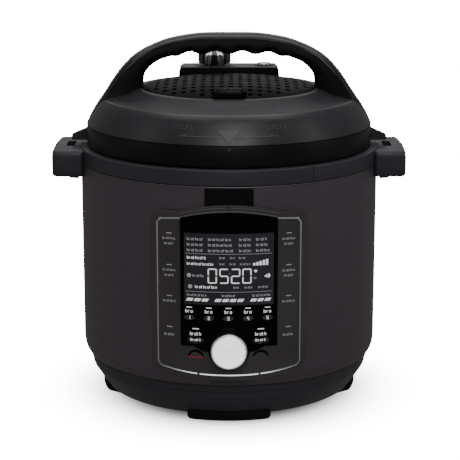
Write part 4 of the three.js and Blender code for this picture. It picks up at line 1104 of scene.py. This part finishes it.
def make_tab():
    """The tab in its well, and the fork under the diffuser that reaches back to the valve."""
    low = limits("release_switch")[0]
    foot, top = 13.8, 10.8
    start, end = 289.5, 295.6
    levels = [(low.z + 2.5, 0.3), (start, 0), (292.0, 0.2), (294.6, 0.6), (295.3, 1.1), (end, 2.0)]
    sections = []
    for z, inset in levels:
        half = foot - (foot - top) * max(0.0, (z - start) / (end - start)) - inset * 0.35
        outline = rounded(rectangle(-half, half, low.y + inset + 0.2, low.y + 9.0 - inset * 0.6), 1.3, 3)
        sections.append([(x, y, z) for x, y in outline])
    bar_low, bar_top = WELL_FLOOR + 0.5, 286.2
    base = cuboid((-13, -75.5, bar_low), (13, -58, bar_top))
    crossbar = cuboid((VALVE_X - 12.5, -61, bar_low), (VALVE_X + 12.5, -54, bar_top))
    side = [(-56, bar_low), (67.6, bar_low), (67.6, bar_top), (62.6, bar_top + 2.5), (58.6, bar_top + 2.5),
            (56.6, bar_top), (-56, bar_top)]
    prongs = [swept([[(x, y, z) for y, z in side] for x in (left, left + 3)])
              for left in (VALVE_X - 12.5, VALVE_X + 9.5)]
    made("release_tab", joined(swept(sections), base, crossbar, *prongs), "release", "gloss_black",
         look="tab_black", replaces=["release_switch"])


def make_valve_block():
    low, high = VALVE_LOW, VALVE_HIGH
    outline = [(low.x, low.z), (high.x, low.z), *near(high.x, high.z, (-0.6, -3.4), (-3.4, 0)),
               *near(low.x, high.z, (3.4, 0), (0.6, -3.4))]
    block = made("valve_housing", carried(rounded(outline, 1.6, 3), low.y + 0.2, high.y), "lid",
                 look="handle_black", replaces=["valve_block"])
    wall = 2.5
    inside = cuboid((low.x + wall, low.y + wall, low.z - 1), (high.x - wall, high.y - wall, high.z - wall))
    slots = [cuboid((x - 2.2, low.y - 1, low.z - 1), (x + 2.2, low.y + 4, 290))
             for x in (VALVE_X - 11, VALVE_X + 11)]
    bores = [revolved(rectangle(0, radius, 288, 302), 48, (x, VALVE_Y))
             for x, radius in ((VALVE_X, 10), (FLOAT_X, 7))]
    cut_away(block, inside, *slots, *bores)
    soften(block, 0.7)


def make_valve_weight():
    """The steam valve's cap, black with grooves round it and two painted highlights as bright steel stripes,
    and its rivet.
    """
    low, high = limits("valve_weight")
    radius, base, groove_count = high.x - VALVE_X, 299.2, 18
    cap = near(radius, high.z, (-5, -0.2), (-1.6, -2.2), (-0.2, -3.6))
    stem = near(0, low.z, (9.2, 1.5), (12.5, 1.5), (12.5, 0), (4.6, 0), (4.6, 6), (0, 6))
    skirt = [*near(radius, base, (-0.2, 0.8), (-1, 0)), (9.2, base)]
    outline = rounded([(0, high.z), *cap, *skirt, *stem], 0.7, 3)
    weight = turned("steam_valve_cap", outline, "steam_valve", "bright_steel", MEDIUM, VALVE_AT,
                    replaces=["valve_weight"])
    groove = raised(rounded(rectangle(radius - 1, radius + 2, -1, 1), 0.9, 3), base - 1, high.z - 2.6)
    turns = [(i + 0.5) / groove_count * TURN for i in range(groove_count)]
    cut_away(weight, joined(*[moved(groove, VALVE_X, VALVE_Y, angle=turn) for turn in turns]))
    # painted highlights: faces 11 to 33 degrees either side of the front stay bright steel, the rest of the
    # cap turns black
    weight.data.materials.append(MATERIALS["valve_black"])
    for face in weight.data.polygons:
        middle = face.center / MM - Vector((*VALVE_AT, 0))
        turn = abs(math.degrees(math.atan2(middle.x, abs(middle.y))))
        if not (11 < turn < 33) and middle.z > base - 1:
            face.material_index = 1
    dome = rounded(near(0, high.z, (0, 0), (2.2, -0.1), (3.6, -0.7), (3.6, -1.6), (0, -1.6)), 0.4, 3)
    turned("valve_rivet", dome, "steam_valve", "bright_steel", 32, VALVE_AT)


def make_clear_guard():
    low, high = limits("valve_sleeve")
    radius, bore, wall = high.x - VALVE_X, 10.6, 1.2
    outline = [(bore, low.z), *near(radius, low.z, (-0.4, 0), (0, 0.4)),
               *near(radius, high.z, (0, -0.5), (-0.4, 0), (-0.8, 0), (-wall, -0.5)),
               (radius - wall, low.z + wall), (bore, low.z + wall)]
    sleeve = turned("clear_guard", outline, "lid", "clear_grey", 96, VALVE_AT, look="clear",
                    replaces=["valve_sleeve"])
    cut_away(sleeve, *[cuboid((VALVE_X - 30, front, low.z - 2), (VALVE_X + 30, back, high.z + 2))
                       for front, back in ((low.y - 20, low.y + 0.1), (high.y - 0.1, high.y + 20))])


def make_float():
    low, high = limits("float_pin")
    radius = high.x - FLOAT_X
    head = near(radius, high.z, (-1.8, -0.1), (-0.9, 0), (0, -1), (0, -7))
    outline = rounded([(0, high.z - 0.4), *head, (3, high.z - 7), (3, low.z), (0, low.z)], 0.5, 3)
    turned("float_valve_pin", outline, "float_valve", "bright_steel", MEDIUM, FLOAT_AT,
           replaces=["float_pin"])
    seat = rounded([(6.9, 297.15), (9.2, 297.15), (9.2, 297.9), (6.9, 298.2)], 0.3, 2)
    turned("float_seat", seat, "lid", steps=MEDIUM, centre=FLOAT_AT, look="handle_black")


# ---- pot and inside

POT_RADIUS = 110.0
POT_WALL = 1.4
POT_LEVELS = range(1, 7)


def make_pot():
    low, high = limits("inner_pot")
    rim, inside = high.x, POT_RADIUS - POT_WALL
    outline = rounded([(0, low.z), *near(POT_RADIUS, low.z, (-12, 0), (0, 12)), (POT_RADIUS, high.z - 3),
                       *near(rim, high.z, (-0.4, -1.6), (0, -0.8), (-0.6, 0)),
                       (POT_RADIUS - 1.6, high.z - 1.4), (inside, high.z - 6), (inside, low.z + 13),
                       (POT_RADIUS - 13, low.z + 1.6), (0, low.z + 1.6)], 4, 5)
    turned("steel_pot", outline, "pot", "bright_steel", replaces=["inner_pot"])
    marks = []
    for level in POT_LEVELS:
        z = low.z + 12 + level * 22
        for turn in (0.6, 3.6):
            for step in steps_between(turn, turn + 0.09, 6)[:-1]:
                mark = rectangle(POT_RADIUS - 1.55, POT_RADIUS - 1.38, z, z + 0.6)
                marks.append(swept([fan(mark, angle) for angle in (step, step + 0.0155)]))
    made("pot_level_marks", joined(*marks), "pot", "bright_steel", look="grey_line_and_highlight")


def make_heater():
    low, high = limits("heating_plate")
    outline = rounded([(22, high.z - 1.2), (88, high.z - 0.6), (90, high.z - 2), (90, low.z + 6), (82, low.z),
                       (22, low.z)], 1.4, 3)
    turned("heater", outline, slot="aluminium", replaces=["heating_plate"])
    low, high = limits("temperature_sensor")
    head = near(high.x, high.z, (-1.2, 0), (0, -1.2), (0, -4))
    outline = rounded([(0, high.z), *head, (4, high.z - 4), (4, low.z), (0, low.z)], 0.8, 3)
    turned("sensor_button", outline, "sensor", "aluminium", MEDIUM, replaces=["temperature_sensor"])


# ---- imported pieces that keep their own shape

REAR_ROUNDING = {"mains_inlet": 0.7, "collector_mount": 0.8, "condensation_collector": 0.9}


def dress_packed():
    """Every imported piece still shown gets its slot's material, and those at the back get rounded edges."""
    for node, thing in frame["nodes"].items():
        if thing.hide_render:
            continue
        thing.data.materials.clear()
        thing.data.materials.append(MATERIALS[SLOT_OF[node]])
        if node in REAR_ROUNDING:
            soften(thing, REAR_ROUNDING[node])


# ---- build

make_camera()
make_lights()
make_floor()
make_shell()
make_patches()
make_base()
make_feet()
make_top_ring()
make_side_handles()
make_bezel()
make_overlay()
silver_line = make_trims()
print_screen()
print_keys()
light_the_dial(make_dial(), silver_line)
make_lid()
make_lid_marks()
make_diffuser()
make_tab()
make_valve_block()
make_valve_weight()
make_clear_guard()
make_float()
make_handle()
make_pot()
make_heater()
dress_packed()
